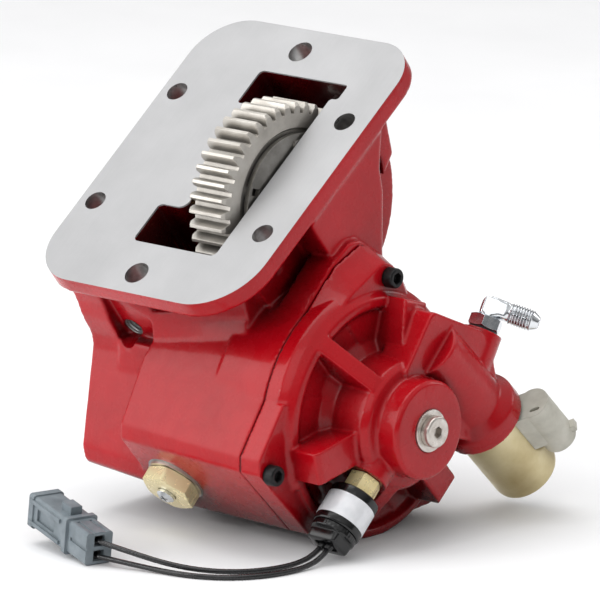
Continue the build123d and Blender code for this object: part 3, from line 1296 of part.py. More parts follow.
# ================================================================= switch label
with BuildPart() as label:
    with BuildSketch(Plane(origin=along(SWITCH_O, SWITCH_D, 15.0), x_dir=(1, 0, 0), z_dir=SWITCH_D)):
        Circle(12.5)
    extrude(amount=12.2)
    with BuildSketch(Plane(origin=along(SWITCH_O, SWITCH_D, 14.9), x_dir=(1, 0, 0), z_dir=SWITCH_D)):
        Circle(12.17)
    extrude(amount=12.5, mode=Mode.SUBTRACT)
label.part.label = "switch_label"
export_step(label.part, "parts/switch_label.step")

# ================================================================= switch boot
with BuildPart() as boot:
    with BuildSketch(Plane(origin=along(SWITCH_O, SWITCH_D, 31.05), x_dir=(1, 0, 0), z_dir=SWITCH_D)):
        Circle(11.0)
    extrude(amount=5.0)
    with BuildSketch(Plane(origin=along(SWITCH_O, SWITCH_D, 36.0), x_dir=(1, 0, 0), z_dir=SWITCH_D)):
        Circle(11.0)
    with BuildSketch(Plane(origin=along(SWITCH_O, SWITCH_D, 40.0), x_dir=(1, 0, 0), z_dir=SWITCH_D)):
        Circle(9.6)
    loft()
boot.part.label = "switch_boot"
export_step(boot.part, "parts/switch_boot.step")

# ================================================================= wires
WIRE_D = 2.6
WIRE_A = [(102.0, -35.5, -166.9), (101.6, -42.5, -171.8), (100.2, -54.0, -174.3), (97.5, -68.0, -174.6), (91.0, -81.5, -174.5), (80.5, -94.0, -173.6), (66.0, -104.0, -171.4), (47.5, -110.5, -167.8), (27.5, -115.0, -164.2)]
WIRE_B = [(106.4, -35.5, -166.9), (107.2, -43.0, -171.9), (107.4, -55.0, -174.4), (106.2, -69.0, -174.65), (101.0, -83.5, -174.65), (91.0, -95.5, -174.65), (76.5, -103.6, -174.6), (60.0, -106.8, -174.4), (43.5, -110.2, -173.4), (27.5, -114.9, -171.8)]


def bend_radii(points):
    radii = []
    for p, q, r in zip(points, points[1:], points[2:]):
        a = [q[i] - p[i] for i in range(3)]
        b = [r[i] - q[i] for i in range(3)]
        la, lb = math.dist(p, q), math.dist(q, r)
        turn = math.acos(max(-1, min(1, sum(a[i] * b[i] for i in range(3)) / la / lb)))
        radii.append(round(0.45 * min(la, lb) / math.tan(turn / 2), 2))
    return radii


RADII_A, RADII_B = bend_radii(WIRE_A), bend_radii(WIRE_B)
print("wire a", round(sum(math.dist(a, b) for a, b in zip(WIRE_A, WIRE_A[1:])), 1), "mm, bend radii", RADII_A)
print("wire b", round(sum(math.dist(a, b) for a, b in zip(WIRE_B, WIRE_B[1:])), 1), "mm, bend radii", RADII_B)

with BuildPart() as wire_a:
    with BuildLine() as route_a:
        FilletPolyline(*WIRE_A, radius=RADII_A)
    with BuildSketch(Plane(origin=WIRE_A[0], z_dir=tuple(WIRE_A[1][i] - WIRE_A[0][i] for i in range(3)))):
        Circle(WIRE_D / 2)
    sweep(path=route_a.wires()[0])
wire_a.part.label = "switch_wire_a"
export_step(wire_a.part, "parts/switch_wire_a.step")

with BuildPart() as wire_b:
    with BuildLine() as route_b:
        FilletPolyline(*WIRE_B, radius=RADII_B)
    with BuildSketch(Plane(origin=WIRE_B[0], z_dir=tuple(WIRE_B[1][i] - WIRE_B[0][i] for i in range(3)))):
        Circle(WIRE_D / 2)
    sweep(path=route_b.wires()[0])
wire_b.part.label = "switch_wire_b"
export_step(wire_b.part, "parts/switch_wire_b.step")

for tag, piece, route in (("a", wire_a, route_a), ("b", wire_b, route_b)):
    length = sum(e.length for e in route.edges())
    print("wire", tag, "length", round(length, 1), "volume", round(piece.part.volume, 1), "section x length", round(math.pi * WIRE_D ** 2 / 4 * length, 1))

# ================================================================= wire connector
PLUG_O = (28.0, -115.0, -167.6)               # middle of the face the wires enter
_l = math.sqrt(0.95 ** 2 + 0.27 ** 2 + 0.16 ** 2)
PLUG_D = (-0.95 / _l, 0.27 / _l, 0.16 / _l)
_w = math.hypot(PLUG_D[0], PLUG_D[1])
PLUG_W = (-PLUG_D[1] / _w, PLUG_D[0] / _w, 0)    # sideways, level


def plug_plane(s):
    return Plane(origin=along(PLUG_O, PLUG_D, s), x_dir=PLUG_W, z_dir=PLUG_D)


# ================================================================= wire connector
with BuildPart() as plug:
    # in this frame x is sideways and y is upwards
    with BuildSketch(plug_plane(0)):
        RectangleRounded(14.4, 16.4, 1.6)
    extrude(amount=18)
    with BuildSketch(plug_plane(17.5)):
        RectangleRounded(17.4, 18.6, 1.6)
    extrude(amount=3.2)
    with BuildSketch(plug_plane(20)):
        RectangleRounded(15.6, 16.2, 1.6)
    extrude(amount=32.5)
    with BuildSketch(plug_plane(49.5)):
        RectangleRounded(17.0, 17.4, 1.6)
    extrude(amount=4.0)
    # latch underneath, block on top
    with BuildSketch(plug_plane(14)):
        with Locations((0, -9.35)):
            Rectangle(6.4, 2.7)
    extrude(amount=25)
    with BuildSketch(plug_plane(14)):
        with Locations((0, -8.4)):
            Rectangle(3.6, 2.0)
    extrude(amount=22, mode=Mode.SUBTRACT)
    with BuildSketch(plug_plane(23)):
        with Locations((0, 10.1)):
            Rectangle(6.0, 4.4)
    extrude(amount=9)
    # ribs and window on both sides
    with BuildSketch(plug_plane(24)):
        with Locations((8.2, -5.5), (8.2, 5.5), (-8.2, -5.5), (-8.2, 5.5)):
            Rectangle(1.2, 2.0)
    extrude(amount=29)
    with BuildSketch(plug_plane(30)):
        with Locations((7.8, 0), (-7.8, 0)):
            Rectangle(2.4, 6.0)
    extrude(amount=16, mode=Mode.SUBTRACT)
    # grooves along the wire end
    with BuildSketch(plug_plane(-1)):
        with Locations((7.6, 0), (-7.6, 0)):
            Rectangle(2.2, 1.8)
        with Locations((3.4, 8.6), (-3.4, 8.6)):
            Rectangle(1.6, 1.6)
    extrude(amount=16, mode=Mode.SUBTRACT)
    # nothing below the level it rests on
    with BuildSketch(Plane(origin=(0, -110, FLOOR + 0.02), x_dir=(1, 0, 0), z_dir=(0, 0, 1))):
        Rectangle(120, 60)
    extrude(amount=-10, mode=Mode.SUBTRACT)
    # socket at the far end, cavities at the wire end
    with BuildSketch(plug_plane(53.5)):
        RectangleRounded(12.6, 13.0, 1.0)
    extrude(amount=-15, mode=Mode.SUBTRACT)
    with BuildSketch(plug_plane(0)):
        with Locations((0, -3.8), (0, 3.8)):
            Rectangle(5.6, 5.5)
    extrude(amount=6, mode=Mode.SUBTRACT)
plug.part.label = "wire_connector"
export_step(plug.part, "parts/wire_connector.step")

# ================================================================= connector lock
with BuildPart() as plug_lock:
    with BuildSketch(plug_plane(38.55)):
        RectangleRounded(9.0, 10.6, 1.0)
        with Locations((0, -3.8), (0, 3.8)):
            Rectangle(2.6, 2.6, mode=Mode.SUBTRACT)
    extrude(amount=10)
plug_lock.part.label = "connector_lock"
export_step(plug_lock.part, "parts/connector_lock.step")

# ================================================================= wire seals
with BuildPart() as wire_seals:
    with BuildSketch(plug_plane(2.3)):
        with Locations((0, -3.8), (0, 3.8)):
            Circle(2.65)
            Circle(1.35, mode=Mode.SUBTRACT)
    extrude(amount=3.6)
wire_seals.part.label = "wire_seals"
export_step(wire_seals.part, "parts/wire_seals.step")
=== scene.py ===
import bpy
import math
import numpy as np
from mathutils import Matrix, Vector
from mathutils.bvhtree import BVHTree


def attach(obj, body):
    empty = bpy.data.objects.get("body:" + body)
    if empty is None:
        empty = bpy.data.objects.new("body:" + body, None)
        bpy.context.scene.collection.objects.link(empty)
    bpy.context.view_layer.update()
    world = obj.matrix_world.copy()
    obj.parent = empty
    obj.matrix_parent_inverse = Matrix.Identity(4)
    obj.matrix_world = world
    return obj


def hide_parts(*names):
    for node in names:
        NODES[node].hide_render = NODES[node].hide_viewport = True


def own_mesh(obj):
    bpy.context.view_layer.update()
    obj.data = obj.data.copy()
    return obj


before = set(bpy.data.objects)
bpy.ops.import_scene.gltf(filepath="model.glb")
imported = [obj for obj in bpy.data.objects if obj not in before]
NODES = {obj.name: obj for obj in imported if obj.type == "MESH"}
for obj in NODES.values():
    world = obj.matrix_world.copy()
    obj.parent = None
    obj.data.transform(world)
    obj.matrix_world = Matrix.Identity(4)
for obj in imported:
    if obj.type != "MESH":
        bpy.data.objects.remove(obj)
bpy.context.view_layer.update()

SCENE = bpy.context.scene

# ---------------------------------------------------------------- places, in millimetres, as in the construction
TILT = math.radians(38.1)
ST, CT = math.sin(TILT), math.cos(TILT)
FLOOR = -176.0
YC, ZC = 15.6, -117.3
ZI = -18.3
SCREWS = [(-57.6, -132.0), (27.6, -49.2), (59.3, -160.0)]
DRAIN, DRAIN_N = (12.7, -44.3, -148.7), (0, -math.sqrt(0.5), -math.sqrt(0.5))
VALVE_O, VALVE_D = (104.0, 77.9, -126.0), (0, 0.714, -0.700)
PORT_O, PORT_D = (104.0, 76.6, -82.0), (0, 0.510, 0.860)
SWITCH_O, SWITCH_D = (104.0, -8.0, -140.3), (0, -0.72, -0.694)
ARM = (0.8165, 0.4960, -0.2955)
HOLES = [(sx * 55.56, st * 37.3, 5.6) for sx in (-1, 1) for st in (-1, 1)] + [(0, 74.6, 6.4), (0, -74.6, 6.4)]


def along(o, d, s):
    return tuple(o[i] + d[i] * s for i in range(3))


ELBOW = along(PORT_O, PORT_D, 13.2)


def tn(t, n):
    return (t * CT - n * ST, t * ST + n * CT)


# ---------------------------------------------------------------- camera
cam_data = bpy.data.cameras.new("camera")
cam = bpy.data.objects.new("camera", cam_data)
SCENE.collection.objects.link(cam)
cam_data.lens = 430.675
cam_data.sensor_width = 36.0
cam_data.clip_start, cam_data.clip_end = 0.1, 60.0
cam.matrix_world = Matrix((
    (0.741106, -0.151707, 0.654024, 2.32854),
    (0.671383, 0.163875, -0.722765, -2.51431),
    (0.002470, 0.974746, 0.223302, 0.71573),
    (0, 0, 0, 1)))
SCENE.camera = cam

# ---------------------------------------------------------------- material helpers


def linear(r, g, b):
    return tuple(((c / 255) / 12.92 if c / 255 <= 0.04045 else ((c / 255 + 0.055) / 1.055) ** 2.4) for c in (r, g, b)) + (1.0,)


def start(name):
    m = bpy.data.materials.new(name)
    m.use_nodes = True
    nt = m.node_tree
    nt.nodes.clear()
    out = nt.nodes.new("ShaderNodeOutputMaterial")
    b = nt.nodes.new("ShaderNodeBsdfPrincipled")
    nt.links.new(b.outputs[0], out.inputs[0])
    return m, nt, b


def coords(nt, stretch=(1, 1, 1), shift=(0, 0, 0), turn=(0, 0, 0)):
    tc = nt.nodes.new("ShaderNodeTexCoord")
    mp = nt.nodes.new("ShaderNodeMapping")
    mp.inputs["Scale"].default_value = stretch
    mp.inputs["Location"].default_value = shift
    mp.inputs["Rotation"].default_value = turn
    nt.links.new(tc.outputs["Object"], mp.inputs["Vector"])
    return mp.outputs["Vector"]


def noise(nt, vec, scale, detail=4.0, rough=0.55):
    n = nt.nodes.new("ShaderNodeTexNoise")
    n.inputs["Scale"].default_value = scale
    n.inputs["Detail"].default_value = detail
    n.inputs["Roughness"].default_value = rough
    nt.links.new(vec, n.inputs["Vector"])
    return n.outputs["Fac"]


def ramp(nt, fac, stops):
    r = nt.nodes.new("ShaderNodeValToRGB")
    e = r.color_ramp.elements
    e[0].position, e[0].color = stops[0]
    e[1].position, e[1].color = stops[-1]
    for p, c in stops[1:-1]:
        x = e.new(p)
        x.color = c
    nt.links.new(fac, r.inputs["Fac"])
    return r.outputs["Color"]


def spread(nt, fac, lo, hi, a=0.3, b=0.7):
    m = nt.nodes.new("ShaderNodeMapRange")
    m.inputs["From Min"].default_value, m.inputs["From Max"].default_value = a, b
    m.inputs["To Min"].default_value, m.inputs["To Max"].default_value = lo, hi
    nt.links.new(fac, m.inputs["Value"])
    return m.outputs["Result"]


def bump(nt, height, strength, distance, normal=None):
    b = nt.nodes.new("ShaderNodeBump")
    b.inputs["Strength"].default_value = strength
    b.inputs["Distance"].default_value = distance
    nt.links.new(height, b.inputs["Height"])
    if normal is not None:
        nt.links.new(normal, b.inputs["Normal"])
    return b.outputs["Normal"]


def bevel(nt, radius):
    b = nt.nodes.new("ShaderNodeBevel")
    b.samples = 4
    b.inputs["Radius"].default_value = radius
    return b.outputs["Normal"]


def rings(nt, vec, direction, scale, distortion=0.4):
    w = nt.nodes.new("ShaderNodeTexWave")
    w.wave_type = "RINGS"
    w.rings_direction = direction
    w.inputs["Scale"].default_value = scale
    w.inputs["Distortion"].default_value = distortion
    w.inputs["Detail"].default_value = 2.0
    nt.links.new(vec, w.inputs["Vector"])
    return w.outputs["Fac"]


def with_painted_shade(nt, colour, reach, least, bounced=None, low=0.12):
    """a colour with painted shade, darker in pockets and corners by ambient occlusion; to diffuse rays it is a dark
    grey, so it gives little light or tint to its own pockets and to what is near
    """
    ao = nt.nodes.new("ShaderNodeAmbientOcclusion")
    ao.samples = 6
    ao.inputs["Distance"].default_value = reach
    m = nt.nodes.new("ShaderNodeMix")
    m.data_type = "RGBA"
    m.blend_type = "MULTIPLY"
    m.inputs[0].default_value = 1.0
    nt.links.new(colour, m.inputs[6])
    nt.links.new(ramp(nt, ao.outputs["AO"], [(low, (least, least, least, 1)), (0.72, (1, 1, 1, 1))]), m.inputs[7])
    if bounced is None:
        return m.outputs[2]
    lp = nt.nodes.new("ShaderNodeLightPath")
    k = nt.nodes.new("ShaderNodeMix")
    k.data_type = "RGBA"
    nt.links.new(lp.outputs["Is Diffuse Ray"], k.inputs[0])
    nt.links.new(m.outputs[2], k.inputs[6])
    k.inputs[7].default_value = bounced
    return k.outputs[2]


def surface(name, dark, mid, light, metallic=0.0, rough=(0.3, 0.4), scale=60.0, grain=2500.0, grain_strength=0.15, grain_depth=0.00003,
            stretch=(1, 1, 1), turn=(0, 0, 0), edge=0.0003, spec=0.5, coat=0.0, coat_rough=0.1, ring=None, ring_strength=0.2, shade=None):
    """a material with three tones in broad patches, a fine grain, uneven gloss and rounded corners; given shade, it
    also has painted shade in its pockets and corners
    """
    m, nt, b = start(name)
    v = coords(nt)
    broad = noise(nt, v, scale, 5.0)
    tone = ramp(nt, broad, [(0.28, linear(*dark)), (0.5, linear(*mid)), (0.74, linear(*light))])
    nt.links.new(with_painted_shade(nt, tone, *shade) if shade else tone, b.inputs["Base Color"])
    b.inputs["Metallic"].default_value = metallic
    b.inputs["Specular IOR Level"].default_value = spec
    if coat:
        b.inputs["Coat Weight"].default_value = coat
        b.inputs["Coat Roughness"].default_value = coat_rough
    vs = coords(nt, stretch=stretch, turn=turn)
    fine = noise(nt, vs, grain, 3.0, 0.6)
    nt.links.new(spread(nt, noise(nt, vs, grain * 0.12, 3.0), *rough), b.inputs["Roughness"])
    base = bevel(nt, edge) if edge else None
    if ring:
        vr = coords(nt, shift=ring[0])
        base = bump(nt, rings(nt, vr, ring[1], ring[2]), ring_strength, 0.00004, base)
    nt.links.new(bump(nt, fine, grain_strength, grain_depth, base), b.inputs["Normal"])
    return m


def calc(nt, op, a, b):
    m = nt.nodes.new("ShaderNodeMath")
    m.operation = op
    for k, q in enumerate((a, b)):
        if isinstance(q, (int, float)):
            m.inputs[k].default_value = q
        else:
            nt.links.new(q, m.inputs[k])
    return m.outputs[0]


def seats(nt, vec, places):
    """1 on the round places that were machined after painting, 0 elsewhere: each is (point, axis, radius, from station, to station) in millimetres"""
    total = None
    for o, d, radius, lo, hi in places:
        rel = nt.nodes.new("ShaderNodeVectorMath")
        rel.operation = "SUBTRACT"
        nt.links.new(vec, rel.inputs[0])
        rel.inputs[1].default_value = tuple(c / 1000 for c in o)
        dots = []
        for other in (d, None):
            dot = nt.nodes.new("ShaderNodeVectorMath")
            dot.operation = "DOT_PRODUCT"
            nt.links.new(rel.outputs[0], dot.inputs[0])
            if other:
                dot.inputs[1].default_value = other
            else:
                nt.links.new(rel.outputs[0], dot.inputs[1])
            dots.append(dot.outputs["Value"])
        s, sq = dots
        near = calc(nt, "LESS_THAN", calc(nt, "SUBTRACT", sq, calc(nt, "MULTIPLY", s, s)), (radius / 1000) ** 2)
        level = calc(nt, "MULTIPLY", calc(nt, "GREATER_THAN", s, lo / 1000), calc(nt, "LESS_THAN", s, hi / 1000))
        one = calc(nt, "MULTIPLY", near, level)
        total = one if total is None else calc(nt, "MAXIMUM", total, one)
    return total


def mixed(nt, fac, a, b, colour=False):
    m = nt.nodes.new("ShaderNodeMix")
    m.data_type = "RGBA" if colour else "FLOAT"
    nt.links.new(fac, m.inputs[0])
    for k, q in ((6 if colour else 2, a), (7 if colour else 3, b)):
        if isinstance(q, (int, float)):
            m.inputs[k].default_value = q
        else:
            nt.links.new(q, m.inputs[k])
    return m.outputs[2 if colour else 0]


# glossy red enamel over a casting: deep saturated colour with painted shade in pockets and corners, slight orange peel
# over the cast texture
def enamel(name, edge=0.0, depth=1.0, machined=None):
    m, nt, b = start(name)
    v = coords(nt)
    broad = noise(nt, v, 22.0, 4.0)
    base = ramp(nt, broad, [(k, (*(c * depth for c in linear(*rgb)[:3]), 1.0)) for k, rgb in ((0.30, (160, 4, 16)), (0.5, (173, 6, 20)), (0.72, (184, 9, 25)))])
    # painted shade: the red is darkened by ambient occlusion in pockets and corners
    paint = with_painted_shade(nt, base, 0.042, 0.12, (0.07, 0.035, 0.035, 1), low=0.22)
    gloss = spread(nt, noise(nt, v, 140.0, 3.0), 0.22, 0.33)
    b.inputs["Specular IOR Level"].default_value = 0.2
    if machined:
        metal = seats(nt, v, machined)
        tone = ramp(nt, noise(nt, v, 25.0, 5.0), [(0.28, linear(150, 150, 151)), (0.5, linear(166, 166, 167)), (0.74, linear(180, 180, 181))])
        nt.links.new(mixed(nt, metal, paint, tone, colour=True), b.inputs["Base Color"])
        nt.links.new(mixed(nt, metal, gloss, 0.42), b.inputs["Roughness"])
        nt.links.new(mixed(nt, metal, 0.0, 0.6), b.inputs["Metallic"])
        nt.links.new(mixed(nt, metal, 0.26, 0.0), b.inputs["Coat Weight"])
    else:
        nt.links.new(paint, b.inputs["Base Color"])
        nt.links.new(gloss, b.inputs["Roughness"])
        b.inputs["Coat Weight"].default_value = 0.26
    b.inputs["Coat Roughness"].default_value = 0.05
    cast = noise(nt, v, 420.0, 4.0, 0.6)
    peel = noise(nt, v, 1500.0, 2.0)
    n1 = bump(nt, cast, 0.28, 0.00022, bevel(nt, edge) if edge else None)
    nt.links.new(bump(nt, peel, 0.16, 0.00005, n1), b.inputs["Normal"])
    return m


# bare metal on the housing: the pump pad, the bosses of its two tapped holes, the rim of the idler bore and the low plug's seat
SEATS = [((-50, YC, ZC), (1, 0, 0), 47.0, -1.0, 8.0), ((-50, YC, ZI), (1, 0, 0), 14.6, -1.0, 0.8), (DRAIN, DRAIN_N, 15.6, -0.7, 0.7)]
SEATS += [((-50, YC + 53.2 * math.cos(math.radians(k)), ZC + 53.2 * math.sin(math.radians(k))), (1, 0, 0), 9.0, -1.0, 0.8) for k in (20, 200)]
RED = enamel("red_enamel", machined=SEATS)
RED_EDGE = enamel("red_enamel_edged", 0.0006)
# painted shade: a copy of the red enamel at a fifth of its brightness, for the faces deep inside the housing
RED_SHADED_INSIDE = enamel("red_enamel_painted_shade_inside", 0.0, 0.2)
BARE = surface("machined_face", (174, 174, 175), (181, 181, 182), (188, 188, 189), metallic=0.5, rough=(0.42, 0.52), scale=25.0, grain=900.0,
               grain_strength=0.10, grain_depth=0.00002, stretch=(8, 0.5, 0.5), turn=(TILT, 0, 0), edge=0.0004, spec=0.4)
BORE = surface("machined_bore", (104, 103, 102), (144, 143, 142), (184, 183, 181), metallic=0.6, rough=(0.26, 0.38), scale=150.0, grain=1400.0,
               grain_strength=0.25, edge=0.0)
# painted shade: the gear steel is darker in its tooth roots and corners
GEAR = surface("gear_steel", (178, 173, 165), (202, 197, 189), (218, 214, 207), metallic=0.7, rough=(0.30, 0.42), shade=(0.006, 0.16), scale=70.0, grain=1500.0,
               grain_strength=0.22, grain_depth=0.00004, stretch=(0.08, 1, 1), edge=0.00035, ring=((0, -YC / 1000, -ZI / 1000), "X", 420.0), ring_strength=0.12)
GEAR_DARK = surface("ground_steel", (120, 118, 114), (142, 139, 134), (165, 162, 157), metallic=0.9, rough=(0.28, 0.40), scale=90.0, grain=1600.0,
                    grain_strength=0.22, edge=0.0003, ring=((0, -YC / 1000, -ZI / 1000), "X", 520.0), ring_strength=0.18)
SHAFT = surface("shaft_steel", (140, 139, 137), (168, 167, 165), (192, 191, 189), metallic=0.95, rough=(0.2, 0.3), scale=90.0, grain=1300.0,
                grain_strength=0.18, stretch=(6, 1, 1), edge=0.0003, ring=((0, -YC / 1000, -ZC / 1000), "X", 480.0), ring_strength=0.15)
BEARING = surface("bearing_steel", (150, 151, 153), (180, 181, 183), (205, 206, 208), metallic=1.0, rough=(0.12, 0.2), scale=120.0, grain=2200.0,
                  grain_strength=0.1, edge=0.0002, ring=((0, -YC / 1000, -ZC / 1000), "X", 620.0), ring_strength=0.1)
OXIDE = surface("black_oxide", (14, 14, 15), (22, 22, 23), (36, 35, 35), metallic=0.55, rough=(0.32, 0.46), scale=260.0, grain=2600.0,
                grain_strength=0.25, edge=0.0002)
STAINLESS = surface("nickel_steel", (178, 170, 162), (201, 194, 187), (222, 217, 211), metallic=0.92, rough=(0.26, 0.36), scale=200.0, grain=1900.0,
                    grain_strength=0.18, edge=0.00025, ring=((0, -YC / 1000, -ZC / 1000), "X", 900.0), ring_strength=0.25)
BRASS = surface("brass", (250, 226, 160), (252, 232, 174), (254, 238, 188), metallic=0.35, rough=(0.24, 0.32), scale=120.0, grain=2200.0,
                grain_strength=0.15, edge=0.00025)
# painted shade: the bright zinc is darker in its creases and corners
CHROME = surface("bright_zinc", (206, 209, 214), (222, 225, 228), (238, 241, 244), metallic=1.0, rough=(0.09, 0.15), scale=120.0, grain=2600.0,
                 grain_strength=0.05, edge=0.0004, shade=(0.0014, 0.02))
CHROME_EDGE = surface("bright_zinc_edged", (188, 192, 198), (212, 216, 220), (236, 239, 242), metallic=1.0, rough=(0.1, 0.18), scale=260.0, grain=2600.0,
                      grain_strength=0.12, edge=0.0002)
GOLD_ZINC = surface("gold_zinc", (240, 224, 172), (245, 230, 182), (249, 236, 194), metallic=0.35, rough=(0.22, 0.3), scale=60.0, grain=2000.0,
                    grain_strength=0.18, edge=0.0003)
WASHER = surface("zinc_washer", (170, 160, 150), (196, 188, 178), (220, 214, 206), metallic=0.9, rough=(0.28, 0.4), scale=160.0, grain=2000.0, edge=0.0002)
COIL = surface("yellow_zinc", (176, 158, 116), (202, 188, 148), (224, 214, 182), metallic=0.8, rough=(0.28, 0.4), scale=30.0, grain=2400.0,
               grain_strength=0.18, edge=0.0004)
GASKET = surface("gasket_painted_over", (66, 8, 12), (84, 10, 15), (100, 13, 19), rough=(0.6, 0.75), scale=220.0, grain=3200.0, grain_strength=0.4, edge=0.0)
BLACK = surface("black_gloss_plastic", (7, 7, 8), (11, 11, 12), (18, 18, 19), rough=(0.14, 0.24), scale=140.0, grain=2600.0, grain_strength=0.08,
                edge=0.0003, spec=0.5)
LABEL = surface("silver_foil", (222, 223, 227), (231, 232, 235), (240, 240, 243), metallic=0.2, rough=(0.32, 0.42), scale=180.0, grain=3600.0,
                grain_strength=0.12, edge=0.0002)
BEIGE = surface("beige_plastic", (176, 173, 161), (190, 187, 175), (202, 199, 188), rough=(0.45, 0.58), scale=110.0, grain=3000.0,
                grain_strength=0.25, edge=0.0007)
GREY = surface("blue_grey_plastic", (98, 108, 114), (114, 124, 130), (130, 139, 145), rough=(0.36, 0.48), scale=110.0, grain=2800.0,
               grain_strength=0.22, edge=0.0006)
RUBBER = surface("black_rubber", (16, 16, 17), (24, 24, 25), (34, 34, 35), rough=(0.5, 0.66), scale=160.0, grain=2600.0, grain_strength=0.3, edge=0.0002)
WIRE = surface("wire_jacket", (13, 13, 14), (19, 19, 21), (28, 28, 31), rough=(0.22, 0.32), scale=220.0, grain=2400.0, grain_strength=0.12, edge=0.0,
               spec=0.6)
FRICTION = surface("friction_lining", (70, 56, 42), (92, 74, 56), (112, 94, 72), rough=(0.75, 0.9), scale=500.0, grain=3000.0, grain_strength=0.5, edge=0.0002)
SPRING = surface("spring_steel", (88, 88, 92), (112, 112, 116), (140, 140, 144), metallic=0.95, rough=(0.25, 0.36), scale=200.0, grain=2200.0, edge=0.0)
SEAL = surface("nitrile_seal", (18, 18, 20), (26, 26, 28), (38, 38, 40), rough=(0.45, 0.6), scale=240.0, grain=2600.0, grain_strength=0.2, edge=0.0)

WEAR = {
    "cover_gasket": GASKET, "dowel_pins": BEARING, "input_gear": GEAR, "input_shaft": SHAFT, "needle_rollers": BEARING,
    "gear_thrust_ring": GEAR_DARK, "rear_thrust_washer": BRASS, "clutch_gear": GEAR_DARK, "clutch_gear_bush": BRASS,
    "clutch_thrust_washers": BRASS, "output_shaft": SHAFT, "clutch_hub": GEAR_DARK, "hub_snap_ring": SPRING, "friction_discs": FRICTION,
    "steel_plates": SPRING, "backing_plate": GEAR_DARK, "clutch_piston": SHAFT, "piston_seals": SEAL, "return_springs": SPRING,
    "rear_bearing_outer": BEARING, "rear_bearing_inner": BEARING, "rear_bearing_balls": BEARING, "bearing_snap_ring": SPRING,
    "shaft_snap_ring": SPRING, "rear_seal": SEAL, "front_bearing_outer": BEARING, "front_bearing_inner": BEARING,
    "front_bearing_balls": BEARING, "shaft_spacer": SHAFT, "shaft_seal_rings": SEAL, "valve_cartridge": CHROME_EDGE, "valve_spool": BEARING,
    "solenoid_coil": COIL, "coil_nut": CHROME_EDGE, "solenoid_connector": BEIGE, "solenoid_pins": CHROME_EDGE, "elbow_o_ring": SEAL,
    "drain_washer": WASHER, "drain_plug": GOLD_ZINC, "drain_screw": CHROME_EDGE, "switch_adapter": BRASS, "switch_label": LABEL,
    "wire_connector": GREY, "connector_lock": GREY, "wire_seals": RUBBER, "housing": RED_EDGE, "clutch_cover": RED_EDGE,
    "cover_screws": OXIDE, "end_plug_washer": STAINLESS, "end_plug": STAINLESS, "elbow_fitting": CHROME, "elbow_lock_nut": CHROME_EDGE,
    "pressure_switch": BLACK, "switch_boot": BLACK, "switch_wire_a": WIRE, "switch_wire_b": WIRE,
}
for n, o in NODES.items():
    mat = WEAR[n]
    if not o.material_slots:
        o.data.materials.append(mat)
    for s in o.material_slots:
        s.material = mat
    flags = np.ones(len(o.data.polygons), bool)
    o.data.polygons.foreach_set("use_smooth", flags)
    o.data.set_sharp_from_angle(angle=math.radians(28))

# ---------------------------------------------------------------- mesh helpers


def add(name, verts, faces, mats, body="housing", sharp=30.0, index=None):
    """a new piece from points in millimetres"""
    me = bpy.data.meshes.new(name)
    me.from_pydata([tuple(c * 0.001 for c in v) for v in verts], [], faces)
    for m in (mats if isinstance(mats, (list, tuple)) else [mats]):
        me.materials.append(m)
    if index is not None:
        me.polygons.foreach_set("material_index", np.array(index, np.int32))
    me.polygons.foreach_set("use_smooth", np.ones(len(me.polygons), bool))
    me.update()
    me.set_sharp_from_angle(angle=math.radians(sharp))
    ob = bpy.data.objects.new(name, me)
    SCENE.collection.objects.link(ob)
    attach(ob, body)
    return ob


def frame_of(axis, x_dir=(1, 0, 0)):
    z = Vector(axis).normalized()
    x = Vector(x_dir)
    if abs(x.normalized().dot(z)) > 0.999:
        x = Vector((0, 1, 0))
    x = (x - z * x.dot(z)).normalized()
    return x, z.cross(x), z


def spun(origin, axis, ringset, n=96, x_dir=(1, 0, 0), cap_start=False, cap_end=False, closed=False):
    """rings round an axis joined to a skin: each ring is (radius, station), and both may be functions of the angle"""
    x, y, z = frame_of(axis, x_dir)
    o = Vector(origin)
    verts, faces = [], []
    for r, s in ringset:
        for k in range(n):
            a = 2 * math.pi * k / n
            rr = r(a) if callable(r) else r
            ss = s(a) if callable(s) else s
            p = o + x * (rr * math.cos(a)) + y * (rr * math.sin(a)) + z * ss
            verts.append(tuple(p))
    m = len(ringset)
    for j in range(m if closed else m - 1):
        a, b = j * n, ((j + 1) % m) * n
        for k in range(n):
            q = (k + 1) % n
            faces.append((a + k, a + q, b + q, b + k))
    if cap_start:
        c = len(verts)
        s = ringset[0][1]
        verts.append(tuple(o + z * (s(0) if callable(s) else s)))
        faces += [(c, (k + 1) % n, k) for k in range(n)]
    if cap_end:
        c = len(verts)
        s = ringset[-1][1]
        verts.append(tuple(o + z * (s(0) if callable(s) else s)))
        base = (m - 1) * n
        faces += [(c, base + k, base + (k + 1) % n) for k in range(n)]
    return verts, faces


def eased(profile, radius, steps=4):
    """the profile's corners rounded: points (radius, station)"""
    pts = [Vector((p[0], p[1])) for p in profile]
    out = [pts[0]]
    for p, q, r in zip(pts, pts[1:], pts[2:]):
        a, b = (p - q), (r - q)
        la, lb = a.length, b.length
        if la < 1e-6 or lb < 1e-6:
            out.append(q)
            continue
        a, b = a / la, b / lb
        turn = math.acos(max(-1, min(1, -a.dot(b))))
        if turn < math.radians(8):
            out.append(q)
            continue
        d = min(radius * math.tan(turn / 2), 0.45 * la, 0.45 * lb)
        s, e = q + a * d, q + b * d
        for i in range(steps + 1):
            t = i / steps
            out.append(s.lerp(q, t).lerp(q.lerp(e, t), t))
    out.append(pts[-1])
    return [(v.x, v.y) for v in out]


def hexr(apothem, phase):
    return lambda a: apothem / math.cos(((a - phase) % (math.pi / 3)) - math.pi / 6)


def phase_of(node, origin, axis, x_dir=(1, 0, 0)):
    """angle of one corner of a node's hexagon round an axis"""
    x, y, z = frame_of(axis, x_dir)
    best, where = 0, 0
    for v in NODES[node].data.vertices:
        d = v.co * 1000 - Vector(origin)
        u, w = d.dot(x), d.dot(y)
        if math.hypot(u, w) > best + 1e-3:
            best, where = math.hypot(u, w), math.atan2(w, u)
    return where


